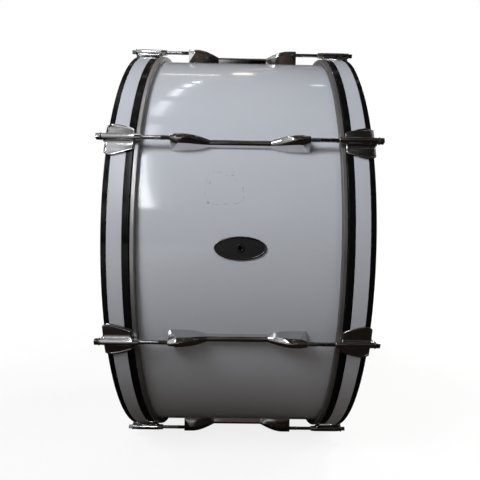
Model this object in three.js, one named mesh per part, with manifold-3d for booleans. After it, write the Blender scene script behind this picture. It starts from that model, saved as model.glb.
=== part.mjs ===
// A marching bass drum, 26 inches across and 12 inches deep, held upright as it is worn.
// Lengths are millimetres. +X runs along the drum's axis, +Z is up, and the badge faces -Y.
// The origin is the middle of the shell. Each ring's radius is measured across its flat sides.

import * as THREE from 'three';
import { mergeVertices } from 'three/addons/utils/BufferGeometryUtils.js';
import Module from 'manifold-3d';

const wasm = await Module();
wasm.setup();

// Fits: the gap between pieces that touch, and how far a cutter or a joint runs past a face
const seatGap = 0.3;
const overrun = 1;

// Counts: every ring has a whole number of flat sides for each lug, and one flat under each lug
const lugCount = 8;
const sidesPerLug = 6;
const ringSides = sidesPerLug * lugCount;
const screwSides = 8;
const rodSides = 8;

// Shell and its wrap
const wrapRadius = 330.2;
const wrapThickness = 0.8;
const shellWall = 8;
const shellDepth = 304.8;
const bearingEdgeInset = 2.5;
const wrapEndInset = 3.4;

// Drumhead: a film whose collar is gripped in the groove of its flesh hoop
const filmThickness = 0.4;
const filmBend = 3.5;
const collarClearance = 0.4;
const filmGrip = 2.6;
const fleshHoopDepth = 9;
const fleshHoopThickness = 7.4;
const fleshHoopGrooveInset = 3.6;
const fleshHoopChamfer = 1.2;

// Counterhoop: a lacquered wooden hoop with a pale strip let into its outside
const hoopDepth = 35;
const hoopThickness = 7.6;
const hoopProud = 20.1;
const hoopChamfer = 0.8;
const hoopOuterBand = 7.4;
const inlayWidth = 19;
const inlayThickness = 0.8;
const inlayRecess = 0.1;

// Tension rods: a rolled thread is a little fatter than the plain shank
const threadRadius = 3;
const shankRadius = 2.65;
const threadLength = 34;
const threadPointLength = 1;
const threadPointRadius = 2.1;
const rodEngagement = 22;
const rodFlangeRadius = 5;
const rodFlangeThickness = 1.3;
const keyHeadSide = 6.35;
const keyHeadLength = 6;
const keyHeadChamfer = 0.7;

// Claws: a winged plate over the counterhoop, with a spindle that the rod runs through
const clawPlateThickness = 2;
const clawLipThickness = 2.2;
const clawLipReach = 6;
const clawHalfSpan = 25;
const clawInnerHalfSpan = 13.5;
const clawLipHalfSpan = 20;
const clawPlateOverhang = 1.2;
const spindleRadius = 4.6;
const spindleEndRadius = 4.1;
const spindleTaper = 9;
const spindleOuterReach = 2.6;
const spindleInnerReach = 10.5;
const spindleLift = 0.9;
const clawBoreClearance = 0.3;

// Lugs: two bullet casings joined by a low bar, bolted through the shell
const lugLength = 180;
const casingLength = 50;
const casingHeight = 20;
const casingHalfWidth = 10.5;
const casingEdgeHalfWidth = 7.5;
const casingEndHalfWidth = 5.2;
const casingBevelLength = 9.5;
const barHeight = 8;
const barHalfWidth = 4.9;
const barEdgeHalfWidth = 4.1;
const lugBoreClearance = 0.3;
const lugBoreRunout = 4;
const lugScrewInset = 28;
const lugScrewRadius = 2.5;
const lugScrewHoleClearance = 0.3;
const washerRadius = 6.5;
const washerThickness = 1.2;
const screwHeadRadius = 4.6;
const screwHeadHeight = 3;

// Badge and the vent eyelet that pins it to the shell
const badgeLength = 67;
const badgeHeight = 30;
const badgeThickness = 1.6;
const badgeSides = 24;
const badgeOffset = 2;
const badgeDrop = 8.5;
const badgeRimWidth = 2.4;
const badgeRimHeight = 0.5;
const badgeFieldDepth = 0.8;
const ventRadius = 2.6;
const eyeletWall = 0.7;
const eyeletFlangeRadius = 5.2;
const eyeletFlangeThickness = 0.8;

// Sizes worked out from the ones above
const shellRadius = wrapRadius - wrapThickness - seatGap;
const shellInnerRadius = shellRadius - shellWall;
const bearingEdge = shellDepth / 2;
const filmInnerFace = bearingEdge + seatGap;
const filmOuterFace = filmInnerFace + filmThickness;
const collarRadius = wrapRadius + collarClearance;
const collarOuterRadius = collarRadius + filmThickness;
const fleshHoopRadius = collarOuterRadius + seatGap;
const fleshHoopOuterRadius = fleshHoopRadius + fleshHoopThickness;
const hoopReach = bearingEdge + hoopProud;
const hoopInnerEdge = hoopReach - hoopDepth;
const hoopRadius = fleshHoopRadius;
const hoopOuterRadius = hoopRadius + hoopThickness;
const fleshHoopOuterEnd = hoopInnerEdge - seatGap;
const fleshHoopInnerEnd = fleshHoopOuterEnd - fleshHoopDepth;
const grooveStart = fleshHoopInnerEnd + fleshHoopGrooveInset;
const clawPlateRadius = hoopOuterRadius + seatGap;
const clawPlateOuterRadius = clawPlateRadius + clawPlateThickness;
const clawLipFace = hoopReach + seatGap;
const clawOuterFace = clawLipFace + clawLipThickness;
const rodCircleRadius = clawPlateRadius + spindleLift + spindleRadius;
const clawBoreRadius = threadRadius + clawBoreClearance;
const lugSeatRadius = wrapRadius + seatGap;
const lugHalfLength = lugLength / 2;
const lugScrewPlace = lugHalfLength - lugScrewInset;
const rodTip = lugHalfLength - rodEngagement;
const spindleOuterEnd = clawOuterFace + spindleOuterReach;
const spindleInnerEnd = hoopInnerEdge - spindleInnerReach;
const rodFlangeFace = spindleOuterEnd + seatGap;
const badgePlace = [badgeOffset, -badgeDrop];
const badgeSeatRadius = wrapRadius + seatGap;
const badgeRimRadius = badgeSeatRadius + badgeThickness + badgeRimHeight;
const badgeFieldRadius = badgeRimRadius - badgeFieldDepth;

const finish = {
  shell: { color: 0xb98d5e, roughness: 0.7, metalness: 0 },
  wrap: { color: 0xe9e9ea, roughness: 0.16, metalness: 0 },
  film: { color: 0xf0efea, roughness: 0.55, metalness: 0 },
  fleshHoop: { color: 0xb4b2ad, roughness: 0.3, metalness: 1 },
  lacquer: { color: 0x0c0c0d, roughness: 0.14, metalness: 0 },
  inlay: { color: 0xe4e5e6, roughness: 0.2, metalness: 0 },
  chrome: { color: 0xd9d9db, roughness: 0.08, metalness: 1 },
  badge: { color: 0x1a1a1c, roughness: 0.3, metalness: 0.6 },
  eyelet: { color: 0x9b9a96, roughness: 0.25, metalness: 1 },
};

const drum = new THREE.Group();

// Merges a closed geometry's shared vertices, drops the slivers left at its poles and makes it a solid.
function toSolid(geometry) {
  const bare = geometry.clone();
  bare.deleteAttribute('normal');
  bare.deleteAttribute('uv');
  const merged = mergeVertices(bare);
  const index = Array.from(merged.index.array);
  const triangles = [];
  for (let i = 0; i < index.length; i += 3) {
    const [a, b, c] = index.slice(i, i + 3);
    if (a !== b && b !== c && c !== a) triangles.push(a, b, c);
  }
  return new wasm.Manifold(new wasm.Mesh({
    numProp: 3,
    vertProperties: new Float32Array(merged.getAttribute('position').array),
    triVerts: new Uint32Array(triangles),
  }));
}

// Gives a solid back as geometry with flat-shaded faces.
function toGeometry(solid) {
  const mesh = solid.getMesh();
  const geometry = new THREE.BufferGeometry();
  geometry.setAttribute('position', new THREE.BufferAttribute(new Float32Array(mesh.vertProperties), 3));
  geometry.setIndex(new THREE.BufferAttribute(new Uint32Array(mesh.triVerts), 1));
  const flat = geometry.toNonIndexed();
  flat.computeVertexNormals();
  return flat;
}

// Adds a named mesh of one solid, turned to its place on the drum.
function addPiece(name, solid, look, turn = [0, 0, 0]) {
  const mesh = new THREE.Mesh(toGeometry(solid), new THREE.MeshStandardMaterial(look));
  mesh.name = name;
  mesh.rotation.set(...turn);
  drum.add(mesh);
}

// Turns a counterclockwise profile of [radius, x] points about the X axis. Radii are across the flats.
function turned(profile, sides = ringSides) {
  const cornerRatio = 1 / Math.cos(Math.PI / sides);
  const points = profile.map(([radius, x]) => new THREE.Vector2(radius * cornerRatio, x));
  if (profile[0][0] > 0) points.push(points[0].clone());
  const geometry = new THREE.LatheGeometry(points, sides, Math.PI / sides);
  return toSolid(geometry.rotateZ(-Math.PI / 2));
}

// A plain ring about the X axis, or a plain bar where its inner radius is zero.
function band(innerRadius, outerRadius, start, end, sides = ringSides) {
  const profile = [[innerRadius, start], [outerRadius, start], [outerRadius, end], [innerRadius, end]];
  return turned(profile, sides);
}

// A round bar or hole that stands along Z at a place [x, y], from one height to another.
function post(radius, low, high, [x, y]) {
  const geometry = new THREE.CylinderGeometry(radius, radius, high - low, screwSides);
  return toSolid(geometry.rotateX(Math.PI / 2).translate(x, y, (low + high) / 2));
}

// Extrudes an outline of [x, y] points along Z, from one height to another.
function prism(outline, low, high) {
  const shape = new THREE.Shape(outline.map(([x, y]) => new THREE.Vector2(x, y)));
  const geometry = new THREE.ExtrudeGeometry(shape, { depth: high - low, bevelEnabled: false });
  return toSolid(geometry.translate(0, 0, low));
}

// Extrudes an outline of [y, z] points along X, from one place to another.
function slab(outline, start, end) {
  const shape = new THREE.Shape(outline.map(([y, z]) => new THREE.Vector2(y, z)));
  const geometry = new THREE.ExtrudeGeometry(shape, { depth: end - start, bevelEnabled: false });
  return toSolid(geometry.rotateX(Math.PI / 2).rotateZ(Math.PI / 2).translate(start, 0, 0));
}

// Joins sections of equal point count, each a list of [x, y, z] points, into one closed skin.
// The sections follow each other along +X, and each one runs counterclockwise seen from there.
function loft(sections) {
  const count = sections[0].length;
  const positions = sections.flat(2);
  const index = [];
  for (let s = 0; s + 1 < sections.length; s += 1) {
    for (let p = 0; p < count; p += 1) {
      const next = (p + 1) % count;
      const here = s * count;
      const there = here + count;
      index.push(here + p, here + next, there + next);
      index.push(here + p, there + next, there + p);
    }
  }
  const last = (sections.length - 1) * count;
  for (let p = 1; p + 1 < count; p += 1) {
    index.push(0, p + 1, p);
    index.push(last, last + p, last + p + 1);
  }
  const geometry = new THREE.BufferGeometry();
  geometry.setAttribute('position', new THREE.Float32BufferAttribute(positions, 3));
  geometry.setIndex(index);
  return toSolid(geometry);
}

// How far a lug, claw or rod is turned from the top of the drum. Number 1 is the first one in front.
function lugTurn(number) {
  return (number - 0.5) * 2 * Math.PI / lugCount;
}

// Cuts the screw holes of every lug and the vent through a ring that runs between two radii.
function drillShell(solid, innerRadius, outerRadius) {
  let drilled = solid;
  const low = innerRadius - overrun;
  const high = outerRadius + overrun;
  for (let number = 1; number <= lugCount; number += 1) {
    const degrees = THREE.MathUtils.radToDeg(lugTurn(number));
    for (const side of [-1, 1]) {
      const hole = post(lugScrewRadius + lugScrewHoleClearance, low, high, [side * lugScrewPlace, 0]);
      drilled = drilled.subtract(hole.rotate([degrees, 0, 0]));
    }
  }
  const vent = post(ventRadius + eyeletWall + seatGap, low, high, badgePlace);
  return drilled.subtract(vent.rotate([90, 0, 0]));
}

function makeShell() {
  const innerBevel = shellWall - bearingEdgeInset;
  const crestRadius = shellRadius - bearingEdgeInset;
  const profile = [
    [shellRadius, -bearingEdge + bearingEdgeInset],
    [shellRadius, bearingEdge - bearingEdgeInset],
    [crestRadius, bearingEdge],
    [shellInnerRadius, bearingEdge - innerBevel],
    [shellInnerRadius, -bearingEdge + innerBevel],
    [crestRadius, -bearingEdge],
  ];
  return drillShell(turned(profile), shellInnerRadius, shellRadius);
}

function makeWrap() {
  const reach = bearingEdge - wrapEndInset;
  const innerRadius = wrapRadius - wrapThickness;
  return drillShell(band(innerRadius, wrapRadius, -reach, reach), innerRadius, wrapRadius);
}

function makeFilm() {
  const outerBend = filmBend + filmThickness * (2 - Math.SQRT2);
  const lipInner = grooveStart + seatGap;
  const lipOuter = lipInner + filmThickness;
  const gripRadius = fleshHoopRadius + filmGrip;
  const profile = [
    [0, filmInnerFace],
    [collarRadius - filmBend, filmInnerFace],
    [collarRadius, filmInnerFace - filmBend],
    [collarRadius, lipInner],
    [gripRadius, lipInner],
    [gripRadius, lipOuter],
    [collarOuterRadius, lipOuter],
    [collarOuterRadius, filmOuterFace - outerBend],
    [collarOuterRadius - outerBend, filmOuterFace],
    [0, filmOuterFace],
  ];
  return turned(profile);
}

function makeFleshHoop() {
  const grooveEnd = grooveStart + filmThickness + 2 * seatGap;
  const grooveRadius = fleshHoopRadius + filmGrip + seatGap;
  const profile = [
    [fleshHoopOuterRadius - fleshHoopChamfer, fleshHoopInnerEnd],
    [fleshHoopOuterRadius, fleshHoopInnerEnd + fleshHoopChamfer],
    [fleshHoopOuterRadius, fleshHoopOuterEnd],
    [fleshHoopRadius, fleshHoopOuterEnd],
    [fleshHoopRadius, grooveEnd],
    [grooveRadius, grooveEnd],
    [grooveRadius, grooveStart],
    [fleshHoopRadius, grooveStart],
    [fleshHoopRadius, fleshHoopInnerEnd],
  ];
  return turned(profile);
}

function makeCounterhoop() {
  const inlayOuterEdge = hoopReach - hoopOuterBand;
  const inlayInnerEdge = inlayOuterEdge - inlayWidth;
  const channelRadius = hoopOuterRadius - inlayRecess - inlayThickness - seatGap;
  const profile = [
    [hoopOuterRadius - hoopChamfer, hoopInnerEdge],
    [hoopOuterRadius, hoopInnerEdge + hoopChamfer],
    [hoopOuterRadius, inlayInnerEdge - seatGap],
    [channelRadius, inlayInnerEdge - seatGap],
    [channelRadius, inlayOuterEdge + seatGap],
    [hoopOuterRadius, inlayOuterEdge + seatGap],
    [hoopOuterRadius, hoopReach - hoopChamfer],
    [hoopOuterRadius - hoopChamfer, hoopReach],
    [hoopRadius, hoopReach],
    [hoopRadius, hoopInnerEdge],
  ];
  return turned(profile);
}

function makeInlay() {
  const outerEdge = hoopReach - hoopOuterBand;
  const outerRadius = hoopOuterRadius - inlayRecess;
  return band(outerRadius - inlayThickness, outerRadius, outerEdge - inlayWidth, outerEdge);
}

// Half the width of the claw's wings, from the hoop's outer face, share 0, to the inner end, share 1.
function clawHalfWidth(share) {
  return clawInnerHalfSpan + (clawHalfSpan - clawInnerHalfSpan) * Math.cos(share * Math.PI / 2);
}

// The right-hand claw that stands at the top of the drum.
function makeClaw() {
  const innerEnd = hoopInnerEdge - clawPlateOverhang;
  const plate = band(clawPlateRadius, clawPlateOuterRadius, innerEnd, clawOuterFace);
  const wingShares = [0, 0.4, 0.7, 1];
  const length = clawOuterFace - innerEnd;
  const upperEdge = wingShares.map((share) => [clawOuterFace - share * length, clawHalfWidth(share)]);
  const lowerEdge = upperEdge.map(([x, y]) => [x, -y]).reverse();
  const wings = prism([...upperEdge, ...lowerEdge], rodCircleRadius - clawHalfSpan, rodCircleRadius);
  const lipLow = hoopOuterRadius - clawLipReach;
  const lipHigh = clawPlateRadius + clawPlateThickness / 2;
  const lipCorner = lipHigh - clawLipReach / 2;
  const lip = slab([
    [-clawLipHalfSpan, lipCorner],
    [-clawLipHalfSpan / 2, lipLow],
    [clawLipHalfSpan / 2, lipLow],
    [clawLipHalfSpan, lipCorner],
    [clawLipHalfSpan, lipHigh],
    [-clawLipHalfSpan, lipHigh],
  ], clawLipFace, clawOuterFace);
  const spindle = turned([
    [0, spindleInnerEnd],
    [spindleEndRadius, spindleInnerEnd],
    [spindleRadius, spindleInnerEnd + spindleTaper],
    [spindleRadius, spindleOuterEnd - spindleTaper],
    [spindleEndRadius, spindleOuterEnd],
    [0, spindleOuterEnd],
  ], rodSides);
  const bore = band(0, clawBoreRadius, spindleInnerEnd - overrun, spindleOuterEnd + overrun, rodSides);
  const lift = [0, 0, rodCircleRadius];
  return plate.intersect(wings).add(lip).add(spindle.translate(lift)).subtract(bore.translate(lift));
}

// The right-hand rod at the top of the drum, from its point in the lug to its square key head.
function makeRod() {
  const flangeEnd = rodFlangeFace + rodFlangeThickness;
  const round = turned([
    [0, rodTip],
    [threadPointRadius, rodTip],
    [threadRadius, rodTip + threadPointLength],
    [threadRadius, rodTip + threadLength],
    [shankRadius, rodTip + threadLength],
    [shankRadius, rodFlangeFace],
    [rodFlangeRadius, rodFlangeFace],
    [rodFlangeRadius, flangeEnd],
    [0, flangeEnd],
  ], rodSides);
  const half = keyHeadSide / 2;
  const narrow = half - keyHeadChamfer;
  const headEnd = flangeEnd + keyHeadLength;
  const square = (x, reach) => [
    [x, -reach, -reach],
    [x, reach, -reach],
    [x, reach, reach],
    [x, -reach, reach],
  ];
  const head = loft([
    square(flangeEnd - rodFlangeThickness / 2, half),
    square(headEnd - keyHeadChamfer, half),
    square(headEnd, narrow),
  ]);
  return round.add(head).translate([0, 0, rodCircleRadius]);
}

// Cross-section of the lug at one place along it, as [x, y, z] points from one foot over to the other.
function lugSection(x) {
  const share = Math.min((lugHalfLength - Math.abs(x)) / casingLength, 1);
  const levelShare = 0.25;
  const fallShare = Math.max(share - levelShare, 0) / (1 - levelShare);
  const height = barHeight + (casingHeight - barHeight) * Math.cos(fallShare * Math.PI / 2);
  const narrowing = Math.cos(share * share * Math.PI / 2);
  const foot = barHalfWidth + (casingHalfWidth - barHalfWidth) * narrowing;
  const bevelled = Math.abs(x) > lugHalfLength - casingBevelLength / 2;
  const fullEdge = bevelled ? casingEndHalfWidth : casingEdgeHalfWidth;
  const edge = barEdgeHalfWidth + (fullEdge - barEdgeHalfWidth) * narrowing;
  const edgeHeightShare = 0.68;
  const crownWidthShare = 0.5;
  const outline = [
    [foot, 0],
    [edge, height * edgeHeightShare],
    [edge * crownWidthShare, height],
    [-edge * crownWidthShare, height],
    [-edge, height * edgeHeightShare],
    [-foot, 0],
  ];
  return outline.map(([y, z]) => [x, y, lugSeatRadius + z]);
}

// The lug at the top of the drum, with its two screws and the washers inside the shell.
function makeLug() {
  const casingShares = [0.45, 0.75, 1];
  const places = casingShares.map((share) => lugHalfLength - share * casingLength).reverse();
  places.push(lugHalfLength - casingBevelLength, lugHalfLength);
  const stations = [...places.map((x) => -x).reverse(), ...places];
  let lug = loft(stations.map((x) => lugSection(x)));
  const boreRadius = threadRadius + lugBoreClearance;
  const bore = band(0, boreRadius, rodTip - lugBoreRunout, lugHalfLength + overrun, rodSides)
    .translate([0, 0, rodCircleRadius]);
  const washerHigh = shellInnerRadius - seatGap;
  const washerLow = washerHigh - washerThickness;
  const headLow = washerLow - screwHeadHeight;
  for (const side of [-1, 1]) {
    const place = [side * lugScrewPlace, 0];
    lug = lug.subtract(side > 0 ? bore : bore.rotate([0, 0, 180]));
    lug = lug.add(post(lugScrewRadius, headLow + overrun, lugSeatRadius + overrun, place));
    lug = lug.add(post(washerRadius, washerLow, washerHigh, place));
    lug = lug.add(post(screwHeadRadius, headLow, washerLow + washerThickness / 2, place));
  }
  return lug;
}

// A prism whose outline is an ellipse round the badge's place.
function badgePrism(length, height, low, high) {
  const outline = Array.from({ length: badgeSides }, (_, i) => {
    const angle = i * 2 * Math.PI / badgeSides;
    return [badgeOffset + length / 2 * Math.cos(angle), height / 2 * Math.sin(angle) - badgeDrop];
  });
  return prism(outline, low, high);
}

// The badge at the top of the drum, bent to the wrap, with a raised rim round a bare field.
function makeBadge() {
  const low = badgeSeatRadius - badgeHeight;
  const high = badgeRimRadius + overrun;
  const body = band(badgeSeatRadius, badgeRimRadius, -badgeLength, badgeLength);
  const fieldLength = badgeLength - 2 * badgeRimWidth;
  const fieldHeight = badgeHeight - 2 * badgeRimWidth;
  const field = band(badgeFieldRadius, high, -badgeLength, badgeLength)
    .intersect(badgePrism(fieldLength, fieldHeight, low, high + overrun));
  const hole = post(ventRadius + eyeletWall + seatGap, low, high, badgePlace);
  return body.intersect(badgePrism(badgeLength, badgeHeight, low, high)).subtract(field).subtract(hole);
}

// The vent eyelet: a tube through badge, wrap and shell, rolled over at both ends.
function makeEyelet() {
  const outerLow = badgeFieldRadius + seatGap;
  const outerHigh = outerLow + eyeletFlangeThickness;
  const innerHigh = shellInnerRadius - seatGap;
  const innerLow = innerHigh - eyeletFlangeThickness;
  const tube = post(ventRadius + eyeletWall, innerLow, outerHigh, badgePlace);
  const outerFlange = post(eyeletFlangeRadius, outerLow, outerHigh, badgePlace);
  const innerFlange = post(eyeletFlangeRadius, innerLow, innerHigh, badgePlace);
  const bore = post(ventRadius, innerLow - overrun, outerHigh + overrun, badgePlace);
  return tube.add(outerFlange).add(innerFlange).subtract(bore);
}

addPiece('shell', makeShell(), finish.shell);
addPiece('wrap', makeWrap(), finish.wrap);
addPiece('badge', makeBadge(), finish.badge, [Math.PI / 2, 0, 0]);
addPiece('vent_eyelet', makeEyelet(), finish.eyelet, [Math.PI / 2, 0, 0]);

const lug = makeLug();
for (let number = 1; number <= lugCount; number += 1) {
  addPiece(`lug_${number}`, lug, finish.chrome, [lugTurn(number), 0, 0]);
}

// Both ends are alike: the left one is the right one turned half round the upright axis.
const claw = makeClaw();
const rod = makeRod();
for (const [side, halfTurn] of [['left', Math.PI], ['right', 0]]) {
  addPiece(`${side}_film`, makeFilm(), finish.film, [0, 0, halfTurn]);
  addPiece(`${side}_flesh_hoop`, makeFleshHoop(), finish.fleshHoop, [0, 0, halfTurn]);
  addPiece(`${side}_counterhoop`, makeCounterhoop(), finish.lacquer, [0, 0, halfTurn]);
  addPiece(`${side}_inlay`, makeInlay(), finish.inlay, [0, 0, halfTurn]);
  for (let number = 1; number <= lugCount; number += 1) {
    const turn = [lugTurn(number), 0, halfTurn];
    addPiece(`${side}_claw_${number}`, claw, finish.chrome, turn);
    addPiece(`${side}_rod_${number}`, rod, finish.chrome, turn);
  }
}

export default drum;
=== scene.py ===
"""Looks of a marching bass drum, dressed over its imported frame.

Lengths are metres. +X runs along the drum's axis, +Z is up, and the badge faces -Y.
"""

from __future__ import annotations

import logging
import math
from collections.abc import Sequence
from dataclasses import dataclass
from enum import Enum
from typing import Any

import bmesh
import bpy
import numpy as np
from mathutils import Matrix, Vector

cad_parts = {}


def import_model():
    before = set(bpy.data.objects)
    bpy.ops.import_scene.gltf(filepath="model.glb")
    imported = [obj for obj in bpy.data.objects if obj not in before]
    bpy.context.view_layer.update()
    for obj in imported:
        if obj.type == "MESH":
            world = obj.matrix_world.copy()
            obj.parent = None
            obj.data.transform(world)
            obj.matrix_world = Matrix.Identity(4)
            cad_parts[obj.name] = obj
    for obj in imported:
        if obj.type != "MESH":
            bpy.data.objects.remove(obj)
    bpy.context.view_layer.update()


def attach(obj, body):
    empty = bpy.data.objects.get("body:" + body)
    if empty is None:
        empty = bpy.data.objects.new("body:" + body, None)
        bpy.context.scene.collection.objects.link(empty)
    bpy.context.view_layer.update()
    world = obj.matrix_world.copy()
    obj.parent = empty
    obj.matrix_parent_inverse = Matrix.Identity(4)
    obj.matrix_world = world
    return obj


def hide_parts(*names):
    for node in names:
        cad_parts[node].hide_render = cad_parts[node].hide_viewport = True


log = logging.getLogger("drum")

MERGE_DISTANCE = 1e-6
OVERRUN = 0.001

FULL_TURN = 2 * math.pi
UPRIGHT = Matrix.Rotation(-math.pi / 2, 4, "Y")
TURNED_CREASE = math.radians(30)
CAST_CREASE = math.radians(48)

Span = tuple[float, float]
Point = tuple[float, float, float]
Light = tuple[float, float, float]
Color = tuple[float, float, float, float]
Profile = list[Span]

MIDDLE: Point = (0.0, 0.0, 0.0)
PLAIN_LIGHT: Light = (1.0, 1.0, 1.0)
DAYLIGHT: Light = (0.96, 0.985, 1.04)
SOFT_DAYLIGHT: Light = (0.97, 0.99, 1.03)
WARM_LIGHT: Light = (1.0, 0.9, 0.8)


class Slot(Enum):
    """The record's material slots."""

    SHELL = "shell_wood"
    WRAP = "white_wrap"
    FILM = "head_film"
    FLESH_HOOP = "flesh_hoop_metal"
    LACQUER = "hoop_lacquer"
    INLAY = "hoop_inlay"
    CHROME = "chrome"
    BADGE = "badge_metal"
    EYELET = "eyelet_metal"


class Side(Enum):
    """The drum's two ends, by the direction in which each one faces along X."""

    LEFT = -1
    RIGHT = 1

    @property
    def label(self) -> str:
        """The word that names this end's pieces."""
        return self.name.lower()

    @property
    def turn(self) -> Matrix:
        """The half turn about the upright axis that takes the right end to this one."""
        return Matrix.Rotation(math.pi if self is Side.LEFT else 0.0, 4, "Z")


class Cut(Enum):
    """How one solid changes another."""

    JOIN = "UNION"
    REMOVE = "DIFFERENCE"


class Wire:
    """An output socket whose arithmetic adds Math nodes to its tree."""

    def __init__(self, graph: Graph, socket: bpy.types.NodeSocket) -> None:
        """Keeps the socket with the graph that it is in."""
        self.graph = graph
        self.socket = socket

    def _math(self, operation: str, *values: Wire | float, clamp: bool = False) -> Wire:
        """Adds one Math node.

        Args:
            operation: The node's operation.
            values: The node's inputs, in order.
            clamp: Whether the result is kept between 0 and 1.

        Returns:
            The node's result.
        """
        settings = {"operation": operation, "use_clamp": clamp}
        return self.graph.add("ShaderNodeMath", settings, dict(enumerate(values)))

    def __add__(self, other: Wire | float) -> Wire:
        """Sum."""
        return self._math("ADD", self, other)

    def __radd__(self, other: float) -> Wire:
        """Sum with a number on the left."""
        return self._math("ADD", other, self)

    def __sub__(self, other: Wire | float) -> Wire:
        """Difference."""
        return self._math("SUBTRACT", self, other)

    def __rsub__(self, other: float) -> Wire:
        """Difference from a number on the left."""
        return self._math("SUBTRACT", other, self)

    def __mul__(self, other: Wire | float) -> Wire:
        """Product."""
        return self._math("MULTIPLY", self, other)

    def __rmul__(self, other: float) -> Wire:
        """Product with a number on the left."""
        return self._math("MULTIPLY", other, self)

    def __truediv__(self, other: Wire | float) -> Wire:
        """Quotient."""
        return self._math("DIVIDE", self, other)

    def __rtruediv__(self, other: float) -> Wire:
        """Quotient of a number on the left."""
        return self._math("DIVIDE", other, self)

    def __mod__(self, other: Wire | float) -> Wire:
        """Remainder, never negative."""
        return self._math("FLOORED_MODULO", self, other)

    def __pow__(self, other: Wire | float) -> Wire:
        """Power."""
        return self._math("POWER", self, other)

    def __neg__(self) -> Wire:
        """Negative."""
        return self * -1.0

    def __abs__(self) -> Wire:
        """Size without its sign."""
        return self._math("ABSOLUTE", self)

    def __gt__(self, other: Wire | float) -> Wire:
        """1 where this is larger, else 0."""
        return self._math("GREATER_THAN", self, other)

    def __lt__(self, other: Wire | float) -> Wire:
        """1 where this is smaller, else 0."""
        return self._math("LESS_THAN", self, other)

    def floor(self) -> Wire:
        """Whole part."""
        return self._math("FLOOR", self)

    def least(self, other: Wire | float) -> Wire:
        """The smaller of two values."""
        return self._math("MINIMUM", self, other)

    def most(self, other: Wire | float) -> Wire:
        """The larger of two values."""
        return self._math("MAXIMUM", self, other)

    def sine(self) -> Wire:
        """Sine of an angle."""
        return self._math("SINE", self)

    def cosine(self) -> Wire:
        """Cosine of an angle."""
        return self._math("COSINE", self)

    def between(self, low: float, high: float) -> Wire:
        """Share of the way from low to high, kept between 0 and 1. High may be the smaller."""
        return self._math("MULTIPLY_ADD", self, 1 / (high - low), -low / (high - low), clamp=True)


class Graph:
    """A node tree that is written as expressions."""

    def __init__(self, tree: bpy.types.NodeTree) -> None:
        """Keeps the tree."""
        self.tree = tree

    def node(self, kind: str, settings: dict[str, Any] | None = None,
             inputs: dict[str | int, Any] | None = None) -> bpy.types.Node:
        """Adds a node.

        Args:
            kind: The node's type.
            settings: The node's own settings, which are set first.
            inputs: What each input gets, by name or number: a wire or a plain value.

        Returns:
            The new node.
        """
        node = self.tree.nodes.new(kind)
        for name, value in (settings or {}).items():
            setattr(node, name, value)
        for key, value in (inputs or {}).items():
            if isinstance(value, Wire):
                self.tree.links.new(value.socket, node.inputs[key])
            else:
                node.inputs[key].default_value = value
        return node

    def add(self, kind: str, settings: dict[str, Any] | None = None,
            inputs: dict[str | int, Any] | None = None, output: str | int = 0) -> Wire:
        """Adds a node and gives one of its outputs.

        Args:
            kind: The node's type.
            settings: The node's own settings.
            inputs: What each input gets.
            output: The output's name or number.

        Returns:
            The output as a wire.
        """
        return Wire(self, self.node(kind, settings, inputs).outputs[output])

    def vector(self, x: Wire | float, y: Wire | float, z: Wire | float) -> Wire:
        """A vector of three values."""
        return self.add("ShaderNodeCombineXYZ", None, {0: x, 1: y, 2: z})

    def parts(self, vector: Wire) -> tuple[Wire, Wire, Wire]:
        """The three values of a vector."""
        node = self.node("ShaderNodeSeparateXYZ", None, {0: vector})
        return tuple(Wire(self, output) for output in node.outputs)

    def point(self) -> Wire:
        """The place on the piece, in metres."""
        return self.add("ShaderNodeTexCoord", None, None, "Object")

    def noise(self, place: Wire, scale: float, detail: float, roughness: float) -> Wire:
        """Fractal noise from 0 to 1.

        Args:
            place: Where it is read.
            scale: Features for each unit of place.
            detail: How many finer layers it has.
            roughness: How strong the finer layers are.

        Returns:
            The noise.
        """
        inputs = {"Vector": place, "Scale": scale, "Detail": detail, "Roughness": roughness}
        return self.add("ShaderNodeTexNoise", {"noise_dimensions": "3D"}, inputs)

    def mix(self, share: Wire | float, first: Wire | Color, second: Wire | Color) -> Wire:
        """A colour between two others."""
        inputs = {0: share, 6: first, 7: second}
        return self.add("ShaderNodeMix", {"data_type": "RGBA"}, inputs, 2)

    def bump(self, height: Wire, depth: float) -> Wire:
        """A normal that follows a height from 0 to 1, which stands for so many metres."""
        inputs = {"Height": height, "Distance": depth, "Strength": 1.0}
        return self.add("ShaderNodeBump", None, inputs, "Normal")


def grey(value: float, tint: float = 0.0) -> Color:
    """A grey, a little warmer where tint is above 0 and cooler below it."""
    return (value * (1 + tint), value, value * (1 - tint), 1.0)


@dataclass(frozen=True)
class Pattern:
    """An uneven pattern. Its scale is in features a metre, and each detail is a finer layer.

    Where it shows only between two levels, it is 0 at the first and 1 at the second. Along tells
    how much finer it is along X, Y and Z, which draws it out into streaks.
    """

    scale: float
    detail: float = 2.0
    roughness: float = 0.5
    shows: Span | None = None
    along: tuple[float, float, float] | None = None

    def on(self, graph: Graph, place: Wire | None = None) -> Wire:
        """Lays the pattern over a surface.

        Args:
            graph: The material's graph.
            place: Where it is read, or None for the place on the piece.

        Returns:
            The pattern's level, from 0 to 1.
        """
        place = place or graph.point()
        if self.along:
            parts = (part * finer for part, finer in zip(graph.parts(place), self.along))
            place = graph.vector(*parts)
        level = graph.noise(place, self.scale, self.detail, self.roughness)
        return level.between(*self.shows) if self.shows else level


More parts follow.
